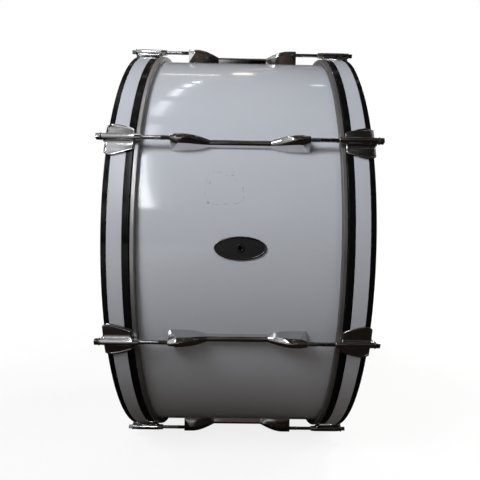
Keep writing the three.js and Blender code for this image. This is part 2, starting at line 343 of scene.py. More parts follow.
@dataclass(frozen=True)
class Finish:
    """A surface finish, which is made as a material when a piece first asks for it."""

    name: str
    slot: Slot

    def paint(self, graph: Graph) -> dict[str, Any]:
        """What each of the skin's sockets gets: a wire where it varies, else a plain value."""
        raise NotImplementedError

    def material(self) -> bpy.types.Material:
        """Makes the material, or finds it where it is there already.

        Returns:
            The material.
        """
        found = bpy.data.materials.get(self.name)
        if found:
            return found
        material = bpy.data.materials.new(self.name)
        material.use_nodes = True
        material.node_tree.nodes.clear()
        graph = Graph(material.node_tree)
        skin = graph.add("ShaderNodeBsdfPrincipled", None, self.paint(graph))
        graph.node("ShaderNodeOutputMaterial", None, {"Surface": skin})
        return material


@dataclass(frozen=True)
class WhiteWrap(Finish):
    """Glossy white laminate with orange peel, fine rubs, one scuffed outline and a lap seam."""

    name: str = "white_wrap_laminate"
    slot: Slot = Slot.WRAP
    shade: Color = (0.640, 0.660, 0.694, 1.0)
    light: Color = (0.672, 0.688, 0.717, 1.0)
    speck: Color = grey(0.42, 0.05)
    lap: Color = grey(0.30, 0.04)
    scuff: Color = grey(0.12, 0.04)
    tone: Pattern = Pattern(7.0, 4.0)
    rubs: Pattern = Pattern(22.0, 3.0, shows=(0.62, 0.78), along=(26.0, 1.6, 1.6))
    specks: Pattern = Pattern(520.0, 1.0, shows=(0.735, 0.78))
    peel: Pattern = Pattern(130.0)
    drift: Pattern = Pattern(30.0, 3.0)
    twist: Pattern = Pattern(43.0, 3.0)
    breaks: Pattern = Pattern(150.0, 3.0, 0.7, (0.46, 0.66))
    roughness: float = 0.085
    depth: float = 0.0002
    ior: float = 1.5
    coat: float = 0.25
    coat_roughness: float = 0.04
    mark_middle: Span = (-0.0190, 0.0660)
    mark_half: Span = (0.0245, 0.0198)
    mark_slope: float = -0.17
    mark_squareness: float = 3.2
    mark_width: float = 0.0005
    mark_wander: float = 0.010
    spots: tuple[Span, ...] = (
        (-0.0329, 0.0883),
        (-0.0096, 0.0846),
        (-0.0389, 0.0743),
        (-0.0400, 0.0483),
    )
    spot_size: Span = (0.0022, 0.0009)
    seam_level: float = -0.024
    seam_width: float = 0.0005

    def outline(self, graph: Graph) -> Wire:
        """The share of scuff: a thin, uneven, broken outline on the front with a few darker spots.

        Args:
            graph: The material's graph.

        Returns:
            A share from 0 to 1.
        """
        x, y, z = graph.parts(graph.point())
        drift = (self.drift.on(graph) - 0.5) * self.mark_wander
        twist = (self.twist.on(graph) - 0.5) * self.mark_wander
        lean = (x - self.mark_middle[0]) * self.mark_slope
        across = abs(x - self.mark_middle[0] + drift) / self.mark_half[0]
        upward = abs(z - self.mark_middle[1] - lean + twist) / (lean + self.mark_half[1])
        power = self.mark_squareness
        loop = (across**power + upward**power) ** (1 / power)
        edge = abs(loop - 1.0) * self.mark_half[1]
        broken = self.breaks.on(graph)
        share = edge.between(self.mark_width, self.mark_width * 0.2) * broken
        for spot_x, spot_z in self.spots:
            wide, high = (x - spot_x) / self.spot_size[0], (z - spot_z) / self.spot_size[1]
            spot = (wide * wide + high * high).between(1.0, 0.2) * broken.between(0.0, 0.3)
            share = share.most(spot)
        return share * (y < 0.0)

    def seam(self, graph: Graph) -> Wire:
        """The share of the lap seam, which crosses the wrap at the back.

        Args:
            graph: The material's graph.

        Returns:
            The share, from 0 to 1.
        """
        _, y, z = graph.parts(graph.point())
        edge = abs(z - self.seam_level)
        return edge.between(self.seam_width, self.seam_width * 0.3) * (y > 0.0)

    def paint(self, graph: Graph) -> dict[str, Any]:
        """Paints the laminate.

        Args:
            graph: The material's graph.

        Returns:
            What each of the skin's sockets gets.
        """
        tone, seam = self.tone.on(graph), self.seam(graph)
        body = graph.mix(tone, self.shade, self.light)
        worn = graph.mix(self.specks.on(graph) * 0.3, body, self.speck)
        lapped = graph.mix(seam * 0.6, worn, self.lap)
        return {
            "Base Color": graph.mix(self.outline(graph) * 0.7, lapped, self.scuff),
            "Roughness": self.roughness + tone * 0.05 + self.rubs.on(graph) * 0.08,
            "Normal": graph.bump(self.peel.on(graph) * 0.03 - seam, self.depth),
            "IOR": self.ior,
            "Coat Weight": self.coat,
            "Coat Roughness": self.coat_roughness,
        }


@dataclass(frozen=True)
class HoopLacquer(Finish):
    """Black gloss lacquer with fine polishing swirls and small chips along the edges."""

    name: str = "black_hoop_lacquer"
    slot: Slot = Slot.LACQUER
    black: Color = grey(0.0035, 0.02)
    hazed: Color = grey(0.0065)
    bare_wood: Color = (0.075, 0.052, 0.034, 1.0)
    flakes: Pattern = Pattern(260.0, 3.0)
    swirls: Pattern = Pattern(24.0, 4.0, along=(30.0, 2.0, 2.0))
    haze: Pattern = Pattern(9.0, 3.0)
    roughness: float = 0.05
    depth: float = 0.000003
    ior: float = 1.31
    inner_edge: float = 0.1365
    outer_edge: float = 0.1725
    chip_reach: float = 0.0012
    chip_pull: float = 0.12
    chip_start: float = 0.02
    chip_shows: Span = (0.735, 0.75)

    def paint(self, graph: Graph) -> dict[str, Any]:
        """Paints the lacquer.

        Args:
            graph: The material's graph.

        Returns:
            What each of the skin's sockets gets.
        """
        x, _, _ = graph.parts(graph.point())
        along = abs(x)
        edge = abs(along - self.inner_edge).least(abs(along - self.outer_edge))
        near = edge.between(self.chip_reach, 0.0)
        flaked = (self.flakes.on(graph) + near * self.chip_pull).between(*self.chip_shows)
        chips = flaked * (near > self.chip_start)
        swirls = self.swirls.on(graph)
        body = graph.mix(self.haze.on(graph), self.black, self.hazed)
        return {
            "Base Color": graph.mix(chips, body, self.bare_wood),
            "Roughness": self.roughness + swirls * 0.06 + chips * 0.4,
            "Normal": graph.bump(swirls, self.depth),
            "IOR": self.ior,
        }


@dataclass(frozen=True)
class InlayStrip(Finish):
    """Glossy white plastic strip, a little cooler than the wrap."""

    name: str = "white_inlay_strip"
    slot: Slot = Slot.INLAY
    shade: Color = (0.610, 0.630, 0.664, 1.0)
    light: Color = (0.655, 0.670, 0.694, 1.0)
    tone: Pattern = Pattern(14.0, 3.0)
    rubs: Pattern = Pattern(26.0, 3.0, shows=(0.6, 0.8), along=(34.0, 1.4, 1.4))
    ripple: Pattern = Pattern(210.0, 1.0)
    roughness: float = 0.16
    depth: float = 0.000004
    ior: float = 1.5

    def paint(self, graph: Graph) -> dict[str, Any]:
        """Paints the strip.

        Args:
            graph: The material's graph.

        Returns:
            What each of the skin's sockets gets.
        """
        tone = self.tone.on(graph)
        return {
            "Base Color": graph.mix(tone, self.shade, self.light),
            "Roughness": self.roughness + tone * 0.05 + self.rubs.on(graph) * 0.12,
            "Normal": graph.bump(self.ripple.on(graph), self.depth),
            "IOR": self.ior,
        }


@dataclass(frozen=True)
class HeadFilm(Finish):
    """White drumhead film with a fine sprayed coating and faint grey mallet marks."""

    name: str = "coated_head_film"
    slot: Slot = Slot.FILM
    white: Color = grey(0.82, 0.012)
    grimy: Color = grey(0.66, 0.02)
    coating: Pattern = Pattern(950.0, 3.0, 0.6)
    smudges: Pattern = Pattern(26.0, 3.0, shows=(0.45, 0.75))
    roughness: float = 0.5
    depth: float = 0.00004
    ior: float = 1.5
    beaten_radii: Span = (0.204, 0.048)

    def paint(self, graph: Graph) -> dict[str, Any]:
        """Paints the film.

        Args:
            graph: The material's graph.

        Returns:
            What each of the skin's sockets gets.
        """
        _, y, z = graph.parts(graph.point())
        radius = (y * y + z * z) ** 0.5
        coating = self.coating.on(graph)
        beaten = radius.between(*self.beaten_radii) * self.smudges.on(graph)
        return {
            "Base Color": graph.mix(beaten * 0.35, self.white, self.grimy),
            "Roughness": self.roughness + coating * 0.12 - beaten * 0.1,
            "Normal": graph.bump(coating, self.depth),
            "IOR": self.ior,
        }


@dataclass(frozen=True)
class FleshHoopMetal(Finish):
    """Satin aluminium, turned with fine lines round the hoop; painted shade darkens its inner lip.
    """

    name: str = "satin_flesh_hoop"
    slot: Slot = Slot.FLESH_HOOP
    bright: Color = grey(0.58, 0.02)
    stained: Color = grey(0.46, 0.05)
    # Painted shade: this dark colour on the inner lip stands in for the shade where the hoop meets
    # the wrap.
    dark: Color = grey(0.20, 0.06)
    lines: Pattern = Pattern(40.0, 4.0, along=(60.0, 1.0, 1.0))
    stains: Pattern = Pattern(18.0, 4.0, shows=(0.5, 0.8))
    fray: Pattern = Pattern(90.0, 3.0)
    metallic: float = 0.88
    roughness: float = 0.25
    depth: float = 0.00001
    lip_end: float = 0.1309
    lip_fade: float = 0.0006

    def paint(self, graph: Graph) -> dict[str, Any]:
        """Paints the metal.

        Args:
            graph: The material's graph.

        Returns:
            What each of the skin's sockets gets.
        """
        x, _, _ = graph.parts(graph.point())
        lines, stain = self.lines.on(graph), self.stains.on(graph)
        # Painted shade: the inner lip is darkened in colour to stand in for shade by the wrap; it
        # is also made rougher and less metallic.
        frayed = abs(x) + (self.fray.on(graph) - 0.5) * self.lip_fade
        lip = frayed.between(self.lip_end + self.lip_fade, self.lip_end)
        satin = graph.mix(stain, self.bright, self.stained)
        return {
            "Base Color": graph.mix(lip, satin, self.dark),
            "Metallic": self.metallic - stain * 0.12 - lip * 0.3,
            "Roughness": self.roughness + lines * 0.16 + stain * 0.08 + lip * 0.2,
            "Normal": graph.bump(lines, self.depth),
        }


@dataclass(frozen=True)
class Chrome(Finish):
    """Chrome plate with fingerprints, fine polishing lines and a few pits."""

    name: str = "polished_chrome"
    slot: Slot = Slot.CHROME
    bright: Color = grey(0.72, -0.005)
    smudged: Color = grey(0.60, 0.02)
    pitted: Color = grey(0.12, 0.15)
    smudges: Pattern = Pattern(55.0, 4.0, 0.6, (0.42, 0.78))
    lines: Pattern = Pattern(60.0, 3.0, along=(4.0, 30.0, 30.0))
    pits: Pattern = Pattern(900.0, 1.0, shows=(0.74, 0.8))
    ripple: Pattern = Pattern(190.0, 1.0)
    roughness: float = 0.045
    depth: float = 0.000006

    def paint(self, graph: Graph) -> dict[str, Any]:
        """Paints the plating.

        Args:
            graph: The material's graph.

        Returns:
            What each of the skin's sockets gets.
        """
        smudge, pits = self.smudges.on(graph), self.pits.on(graph)
        polish = self.roughness + smudge * 0.07 + self.lines.on(graph) * 0.03
        plated = graph.mix(smudge, self.bright, self.smudged)
        return {
            "Base Color": graph.mix(pits * 0.7, plated, self.pitted),
            "Metallic": 1.0,
            "Roughness": polish + pits * 0.3,
            "Normal": graph.bump(self.ripple.on(graph), self.depth),
        }


@dataclass(frozen=True)
class RodSteel(Finish):
    """Dull plated steel of the rods, darkened by oil along the thread."""

    name: str = "dull_rod_steel"
    slot: Slot = Slot.CHROME
    bright: Color = grey(0.36)
    dull: Color = grey(0.27, 0.03)
    oiled: Color = grey(0.16, 0.08)
    smudges: Pattern = Pattern(80.0, 4.0, 0.6, (0.4, 0.75))
    lines: Pattern = Pattern(70.0, 3.0, along=(6.0, 40.0, 40.0))
    roughness: float = 0.22
    depth: float = 0.000005
    oil_ends: Span = (0.106, 0.100)

    def paint(self, graph: Graph) -> dict[str, Any]:
        """Paints the steel.

        Args:
            graph: The material's graph.

        Returns:
            What each of the skin's sockets gets.
        """
        x, _, _ = graph.parts(graph.point())
        smudge, lines = self.smudges.on(graph), self.lines.on(graph)
        oil = abs(x).between(*self.oil_ends) * (smudge * 0.4 + 0.3)
        plated = graph.mix(smudge, self.bright, self.dull)
        return {
            "Base Color": graph.mix(oil, plated, self.oiled),
            "Metallic": 1.0,
            "Roughness": self.roughness + smudge * 0.08 + lines * 0.05 + oil * 0.1,
            "Normal": graph.bump(lines, self.depth),
        }


@dataclass(frozen=True)
class BadgePlate(Finish):
    """Dark enamel field inside a polished black nickel rim."""

    name: str = "badge_enamel_and_rim"
    slot: Slot = Slot.BADGE
    enamel: tuple[Color, Color] = (grey(0.010, 0.03), grey(0.026, 0.05))
    nickel: tuple[Color, Color] = (grey(0.20, 0.04), grey(0.13, 0.06))
    grain: Pattern = Pattern(90.0, 3.0, along=(1.5, 40.0, 40.0))
    smudges: Pattern = Pattern(120.0, 3.0, shows=(0.45, 0.8))
    roughness: float = 0.24
    depth: float = 0.000012
    middle: Span = (0.002, -0.0085)
    field_half: Span = (0.0311, 0.0126)
    rim_edge: Span = (0.985, 1.02)

    def paint(self, graph: Graph) -> dict[str, Any]:
        """Paints field and rim.

        Args:
            graph: The material's graph.

        Returns:
            What each of the skin's sockets gets.
        """
        x, _, z = graph.parts(graph.point())
        across = (x - self.middle[0]) / self.field_half[0]
        upward = (z - self.middle[1]) / self.field_half[1]
        rim = (across * across + upward * upward).between(*self.rim_edge)
        grain, smudge = self.grain.on(graph), self.smudges.on(graph)
        enamel = graph.mix(grain, *self.enamel)
        return {
            "Base Color": graph.mix(rim, enamel, graph.mix(smudge, *self.nickel)),
            "Metallic": rim * 0.95 + 0.05,
            "Roughness": self.roughness + grain * 0.12 - rim * 0.12 + smudge * 0.06,
            "Normal": graph.bump(grain, self.depth),
        }


@dataclass(frozen=True)
class EyeletMetal(Finish):
    """Blackened nickel, rubbed a little on its lip."""

    name: str = "black_nickel_eyelet"
    slot: Slot = Slot.EYELET
    rubbed: Color = grey(0.11, 0.04)
    black: Color = grey(0.05, 0.06)
    rubs: Pattern = Pattern(600.0, 4.0)
    roughness: float = 0.18
    depth: float = 0.000008

    def paint(self, graph: Graph) -> dict[str, Any]:
        """Paints the eyelet.

        Args:
            graph: The material's graph.

        Returns:
            What each of the skin's sockets gets.
        """
        rubs = self.rubs.on(graph)
        return {
            "Base Color": graph.mix(rubs, self.rubbed, self.black),
            "Metallic": 1.0,
            "Roughness": self.roughness + rubs * 0.18,
            "Normal": graph.bump(rubs, self.depth),
        }


@dataclass(frozen=True)
class ShellPlies(Finish):
    """Bent plies: long grain round the shell, and light and dark layers at the bearing edges."""

    name: str = "shell_plies"
    slot: Slot = Slot.SHELL
    brown: Color = (0.47, 0.30, 0.155, 1.0)
    pale: Color = (0.66, 0.46, 0.27, 1.0)
    cross_ply: Color = (0.30, 0.17, 0.08, 1.0)
    pore: Color = (0.2, 0.11, 0.055, 1.0)
    grain: Pattern = Pattern(16.0, 5.0, along=(34.0, 2.2, 2.2))
    pores: Pattern = Pattern(14.0, shows=(0.6, 0.75), along=(160.0, 7.0, 7.0))
    roughness: float = 0.42
    depth: float = 0.00005
    inner_radius: float = 0.3211
    ply: float = 0.00133

    def paint(self, graph: Graph) -> dict[str, Any]:
        """Paints the wood.

        Args:
            graph: The material's graph.

        Returns:
            What each of the skin's sockets gets.
        """
        _, y, z = graph.parts(graph.point())
        radius = (y * y + z * z) ** 0.5
        layer = (((radius - self.inner_radius) / self.ply).floor() % 2.0) * 0.5
        grain, pores = self.grain.on(graph), self.pores.on(graph)
        layered = graph.mix(layer, graph.mix(grain, self.brown, self.pale), self.cross_ply)
        return {
            "Base Color": graph.mix(pores * 0.5, layered, self.pore),
            "Roughness": self.roughness + grain * 0.2,
            "Normal": graph.bump(grain - pores * 0.5, self.depth),
        }


def add_object(name: str, mesh: bpy.types.Mesh) -> bpy.types.Object:
    """Links a new object at the origin.

    Args:
        name: Its name.
        mesh: Its mesh.

    Returns:
        The object.
    """
    made = bpy.data.objects.new(name, mesh)
    bpy.context.scene.collection.objects.link(made)
    return made


def settle(carrier: bpy.types.Object, *helpers: bpy.types.Object) -> bpy.types.Mesh:
    """Turns an object with live modifiers into a plain mesh and clears away what made it.

    Args:
        carrier: The object that holds the modifiers.
        helpers: Objects that the modifiers read.

    Returns:
        The finished mesh, with no modifier left.
    """
    depsgraph = bpy.context.evaluated_depsgraph_get()
    evaluated = carrier.evaluated_get(depsgraph)
    mesh = bpy.data.meshes.new_from_object(
        evaluated, preserve_all_data_layers=True, depsgraph=depsgraph)
    for spent in (carrier, *helpers):
        bpy.data.objects.remove(spent)
    return mesh


def volume(mesh: bpy.types.Mesh) -> float:
    """Signed volume of a closed mesh: below zero where its faces point inwards.

    Args:
        mesh: The closed mesh.

    Returns:
        The volume in cubic metres.
    """
    probe = bmesh.new()
    probe.from_mesh(mesh)
    size = probe.calc_volume(signed=True)
    probe.free()
    return size


def face_outwards(mesh: bpy.types.Mesh) -> bpy.types.Mesh:
    """Turns a closed mesh the right way round where it is inside out.

    Args:
        mesh: The closed mesh.

    Returns:
        The same mesh.
    """
    if volume(mesh) < 0:
        mesh.flip_normals()
    return mesh


class Grower:
    """A Geometry Nodes tree with named inputs, which grows a mesh on a bare carrier."""

    def __init__(self, name: str, sockets: dict[str, str]) -> None:
        """Makes the tree with its inputs.

        Args:
            name: The tree's name.
            sockets: Each input's name and socket type.
        """
        self.name = name
        self.tree = bpy.data.node_groups.new(name, "GeometryNodeTree")
        self.keys = {}
        for label, kind in {**sockets, "Finish": "NodeSocketMaterial"}.items():
            self.keys[label] = self._socket(label, "INPUT", kind)
        self._socket("Geometry", "OUTPUT", "NodeSocketGeometry")
        self.graph = Graph(self.tree)
        group = self.graph.node("NodeGroupInput")
        self.inputs = {label: Wire(self.graph, group.outputs[label]) for label in self.keys}

    def _socket(self, label: str, direction: str, kind: str) -> str:
        """Adds an input or output to the tree and gives its identifier."""
        socket = self.tree.interface.new_socket(name=label, in_out=direction, socket_type=kind)
        return socket.identifier

    def close(self, geometry: Wire) -> None:
        """Ends the tree: instances made real, then the finish.

        Args:
            geometry: What the tree has made.
        """
        real = self.graph.add("GeometryNodeRealizeInstances", None, {"Geometry": geometry})
        inputs = {"Geometry": real, "Material": self.inputs["Finish"]}
        dressed = self.graph.add("GeometryNodeSetMaterial", None, inputs)
        self.graph.node("NodeGroupOutput", None, {"Geometry": dressed})

    def geometry_of(self, label: str) -> Wire:
        """The geometry of an object input."""
        settings, inputs = {"transform_space": "ORIGINAL"}, {"Object": self.inputs[label]}
        return self.graph.add("GeometryNodeObjectInfo", settings, inputs, "Geometry")

    def grow(self, values: dict[str, Any], *helpers: bpy.types.Object) -> bpy.types.Mesh:
        """Runs the tree.

        Args:
            values: What each named input gets.
            helpers: Objects that the tree reads, which go once it has run.

        Returns:
            The grown mesh, facing outwards.
        """
        label = f"{self.name}_carrier"
        carrier = add_object(label, bpy.data.meshes.new(label))
        modifier = carrier.modifiers.new(self.name, "NODES")
        modifier.node_group = self.tree
        for key, value in values.items():
            modifier[self.keys[key]] = value
        return face_outwards(settle(carrier, *helpers))


@dataclass(frozen=True)
class Thread:
    """A right-hand thread cut into a turned piece."""

    pitch: float
    depth: float
    start: float
    end: float
    rows_per_turn: int = 8

    def rows(self, radius: float) -> list[Point]:
        """Profile points from a turn before its start, as x, share of thread and radius.

        Args:
            radius: The shank's radius.

        Returns:
            The points, towards the thread's end.
        """
        count = round((self.end - self.start) / self.pitch + 1) * self.rows_per_turn
        first = self.start - self.pitch
        step = (self.end - first) / count
        return [(first + row * step, 1.0, radius) for row in range(count + 1)]


class Lathe(Grower):
    """Turns a profile about the X axis, with a helical thread where the profile asks for one.

    A thread starts and ends over so many of its turns, and its flank lies between two levels.
    """

    RUN_IN: Span = (0.0, 1.0)
    RUN_OUT: Span = (0.0, 2.0)
    FLANK: Span = (0.13, 0.9)

    def __init__(self) -> None:
        """Builds the tree."""
        super().__init__("turned_piece", {
            "Profile": "NodeSocketObject",
            "Sides": "NodeSocketInt",
            "Pitch": "NodeSocketFloat",
            "Thread Depth": "NodeSocketFloat",
            "Thread Start": "NodeSocketFloat",
            "Thread End": "NodeSocketFloat",
            "Crease": "NodeSocketFloat",
        })
        graph, given = self.graph, self.inputs
        profile = self.geometry_of("Profile")
        count = graph.add("GeometryNodeAttributeDomainSize", {"component": "MESH"},
                          {"Geometry": profile}, "Point Count")
        columns = given["Sides"] + 1.0
        inputs = {"Vertices X": count + 1.0, "Vertices Y": columns}
        grid = graph.add("GeometryNodeMeshGrid", None, inputs)
        index = graph.add("GeometryNodeInputIndex")
        row = ((index + 0.5) / columns).floor()
        share = (index - row * columns) / given["Sides"]
        place = graph.add("GeometryNodeInputPosition")
        settings = {"data_type": "FLOAT_VECTOR", "domain": "POINT"}
        inputs = {"Geometry": profile, "Value": place, "Index": row % count}
        sampled = graph.add("GeometryNodeSampleIndex", settings, inputs)
        x, threaded, radius = graph.parts(sampled)
        start, end, pitch = given["Thread Start"], given["Thread End"], given["Pitch"]
        wound = (x + pitch * share).most(start).least(end)
        along = x + threaded * (wound - x)
        rising = ((along - start) / pitch).between(*self.RUN_IN)
        falling = ((end - along) / pitch).between(*self.RUN_OUT)
        phase = (along / pitch - share) % 1.0
        groove = abs(phase * 2.0 - 1.0).between(*self.FLANK)
        reach = radius - threaded * given["Thread Depth"] * groove * rising * falling
        turn = share * FULL_TURN
        moved = graph.vector(along, -(reach * turn.sine()), reach * turn.cosine())
        placed = graph.add("GeometryNodeSetPosition", None, {"Geometry": grid, "Position": moved})
        inputs = {"Geometry": placed, "Distance": MERGE_DISTANCE}
        merged = graph.add("GeometryNodeMergeByDistance", None, inputs)
        inputs = {"Geometry": merged, "Shade Smooth": True}
        smooth = graph.add("GeometryNodeSetShadeSmooth", {"domain": "FACE"}, inputs)
        bend = graph.add("GeometryNodeInputMeshEdgeAngle", None, None, "Unsigned Angle")
        inputs = {"Geometry": smooth, "Selection": bend > given["Crease"], "Shade Smooth": False}
        self.close(graph.add("GeometryNodeSetShadeSmooth", {"domain": "EDGE"}, inputs))

    def turn(self, name: str, points: Sequence[tuple[float, ...]], finish: Finish,
             sides: int = 288, thread: Thread | None = None,
             crease: float = TURNED_CREASE) -> bpy.types.Mesh:
        """Turns one piece.

        Args:
            name: The mesh's name.
            points: The closed profile as radius and x, or as x, share of thread and radius.
            finish: The finish of the whole piece.
            sides: How many facets go round.
            thread: The thread, where it has one.
            crease: Edges that bend more than this stay sharp.

        Returns:
            The closed mesh.
        """
        placed = [point if len(point) == 3 else (point[1], 0.0, point[0]) for point in points]
        line = bpy.data.meshes.new(f"{name}_profile")
        line.from_pydata(placed, [(i, i + 1) for i in range(len(placed) - 1)], [])
        drawn = add_object(f"{name}_profile", line)
        cut = thread or Thread(1.0, 0.0, 0.0, 0.0)
        mesh = self.grow({
            "Profile": drawn,
            "Sides": sides,
            "Pitch": cut.pitch,
            "Thread Depth": cut.depth,
            "Thread Start": cut.start,
            "Thread End": cut.end,
            "Crease": crease,
            "Finish": finish.material(),
        }, drawn)
        mesh.name = name
        return mesh


class Ring(Grower):
    """Repeats a part round the drum's axis, from a first turn and in even steps."""

    def __init__(self) -> None:
        """Builds the tree."""
        super().__init__("ring_of_parts", {
            "Part": "NodeSocketObject",
            "Count": "NodeSocketInt",
            "First Turn": "NodeSocketFloat",
            "Step": "NodeSocketFloat",
        })
        graph, given = self.graph, self.inputs
        points = graph.add("GeometryNodePoints", None, {"Count": given["Count"]})
        index = graph.add("GeometryNodeInputIndex")
        turn = graph.vector(given["First Turn"] + index * given["Step"], 0.0, 0.0)
        rotation = graph.add("FunctionNodeEulerToRotation", None, {0: turn})
        inputs = {"Points": points, "Instance": self.geometry_of("Part"), "Rotation": rotation}
        self.close(graph.add("GeometryNodeInstanceOnPoints", None, inputs))

    def repeat(self, name: str, part: bpy.types.Mesh, finish: Finish, count: int,
               first: float, step: float) -> bpy.types.Mesh:
        """Repeats one part.

        Args:
            name: The mesh's name.
            part: The part as it stands at the top of the drum.
            finish: The finish of every copy.
            count: How many copies there are.
            first: The first copy's turn.
            step: The turn from each copy to the next.

        Returns:
            All the copies as one mesh.
        """
        original = add_object(f"{name}_original", part.copy())
        mesh = self.grow({
            "Part": original,
            "Count": count,
            "First Turn": first,
            "Step": step,
            "Finish": finish.material(),
        }, original)
        mesh.name = name
        return mesh


def rounded(corners: Sequence[Point], steps: int = 5, guard: float = 0.00025) -> Profile:
    """Rounds the corners of a closed profile, with a guard point just outside each arc.

    Args:
        corners: Radius, x and fillet radius of each corner, in order round the profile.
        steps: How many segments each fillet has.
        guard: How far from an arc its guard point lies, where the side is long enough.

    Returns:
        The profile's points.
    """
    count = len(corners)
    spots = [np.array(corner[:2], float) for corner in corners]
    points: Profile = []
    for i, (spot, corner) in enumerate(zip(spots, corners)):
        fillet = corner[2]
        if fillet == 0:
            points.append(tuple(spot))
            continue
        back, ahead = spots[i - 1] - spot, spots[(i + 1) % count] - spot
        far_back, far_ahead = np.linalg.norm(back), np.linalg.norm(ahead)
        back, ahead = back / far_back, ahead / far_ahead
        opening = math.acos(float(np.clip(back @ ahead, -1, 1)))
        tangent = fillet / math.tan(opening / 2)
        inward = (back + ahead) / np.linalg.norm(back + ahead)
        centre = spot + inward * fillet / math.sin(opening / 2)
        start, end = spot + back * tangent, spot + ahead * tangent
        if tangent + 2 * guard < far_back / 2:
            points.append(tuple(start + back * guard))
        sweep = math.pi - opening
        for step in range(steps + 1):
            share = step / steps
            leaving = (start - centre) * math.sin((1 - share) * sweep)
            nearing = (end - centre) * math.sin(share * sweep)
            points.append(tuple(centre + (leaving + nearing) / math.sin(sweep)))
        if tangent + 2 * guard < far_ahead / 2:
            points.append(tuple(end + ahead * guard))
    return points


def finished(name: str, work: bmesh.types.BMesh) -> bpy.types.Mesh:
    """Turns finished mesh work into a mesh.

    Args:
        name: The mesh's name.
        work: The mesh work, which is freed.

    Returns:
        The mesh.
    """
    mesh = bpy.data.meshes.new(name)
    work.to_mesh(mesh)
    work.free()
    return mesh


def pin(radius: float, start: float, end: float) -> Profile:
    """The closed profile of a plain round pin, to cut with."""
    return [(0.0, start), (radius, start), (radius, end), (0.0, end)]


def loft(name: str, sections: np.ndarray, capped: bool = True) -> bpy.types.Mesh:
    """Skins closed sections that follow each other, and closes the ends.

    Args:
        name: The mesh's name.
        sections: Points as section, point in its loop, and x, y, z.
        capped: True for end caps, False where the last section meets the first.

    Returns:
        The closed mesh, facing outwards.
    """
    rows, columns, _ = sections.shape
    work = bmesh.new()
    grid = [[work.verts.new(point) for point in section] for section in sections]
    for row in range(rows - 1 if capped else rows):
        here, there = grid[row], grid[(row + 1) % rows]
        for column in range(columns):
            beside = (column + 1) % columns
            work.faces.new((here[column], here[beside], there[beside], there[column]))
    if capped:
        work.faces.new(grid[0])
        work.faces.new(grid[-1])
    bmesh.ops.remove_doubles(work, verts=work.verts, dist=MERGE_DISTANCE)
    bmesh.ops.dissolve_degenerate(work, dist=MERGE_DISTANCE, edges=work.edges)
    bmesh.ops.recalc_face_normals(work, faces=work.faces)
    return face_outwards(finished(name, work))


def block(low: Sequence[float], high: Sequence[float]) -> bpy.types.Mesh:
    """A plain box between two corners, to cut with or to shape further.

    Args:
        low: Its lowest corner.
        high: Its highest corner.

    Returns:
        The closed mesh.
    """
    work = bmesh.new()
    bmesh.ops.create_cube(work, size=1.0)
    spread = Vector(high) - Vector(low)
    middle = (Vector(high) + Vector(low)) / 2
    fitted = Matrix.Translation(middle) @ Matrix.Diagonal((*spread, 1))
    bmesh.ops.transform(work, matrix=fitted, verts=work.verts)
    return finished("block", work)


def combine(base: bpy.types.Mesh, tool: bpy.types.Mesh, cut: Cut) -> bpy.types.Mesh:
    """Joins a solid to another, or cuts it away.

    Args:
        base: The solid that is changed.
        tool: The solid that is joined or cut away.
        cut: Which of the two.

    Returns:
        The resulting closed mesh.
    """
    carrier, helper = add_object("base", base), add_object("tool", tool)
    modifier = carrier.modifiers.new("cut", "BOOLEAN")
    modifier.operation = cut.value
    modifier.solver = "EXACT"
    modifier.object = helper
    return settle(carrier, helper)


def gather(name: str, meshes: Sequence[bpy.types.Mesh]) -> bpy.types.Mesh:
    """Puts separate closed meshes into one.

    Args:
        name: The new mesh's name.
        meshes: The meshes.

    Returns:
        The new mesh.
    """
    work = bmesh.new()
    for mesh in meshes:
        work.from_mesh(mesh)
    return finished(name, work)


def moved(mesh: bpy.types.Mesh, matrix: Matrix) -> bpy.types.Mesh:
    """A copy of a mesh in another place.

    Args:
        mesh: The mesh, which stays.
        matrix: The move.

    Returns:
        The copy.
    """
    copy = mesh.copy()
    copy.transform(matrix)
    return copy


def round_edges(mesh: bpy.types.Mesh, width: float, angle: float) -> None:
    """Rounds the edges that bend more than an angle.

    Args:
        mesh: The closed mesh, which is changed.
        width: The rounding's width.
        angle: The least bend of an edge that is rounded.
    """
    work = bmesh.new()
    work.from_mesh(mesh)
    bent = [edge for edge in work.edges
            if edge.is_manifold and edge.calc_face_angle(0.0) > angle]
    bmesh.ops.bevel(work, geom=bent, offset=width, offset_type="OFFSET", segments=2,
                    profile=0.5, affect="EDGES", clamp_overlap=True)
    work.to_mesh(mesh)
    work.free()


def soften(mesh: bpy.types.Mesh) -> bpy.types.Mesh:
    """Shades a casting smoothly between its creases.

    Args:
        mesh: The mesh.

    Returns:
        The mesh with weighted normals.
    """
    mesh.shade_smooth()
    mesh.set_sharp_from_angle(angle=CAST_CREASE)
    carrier = add_object("softened", mesh)
    modifier = carrier.modifiers.new("weighting", "WEIGHTED_NORMAL")
    modifier.keep_sharp = True
    return settle(carrier)


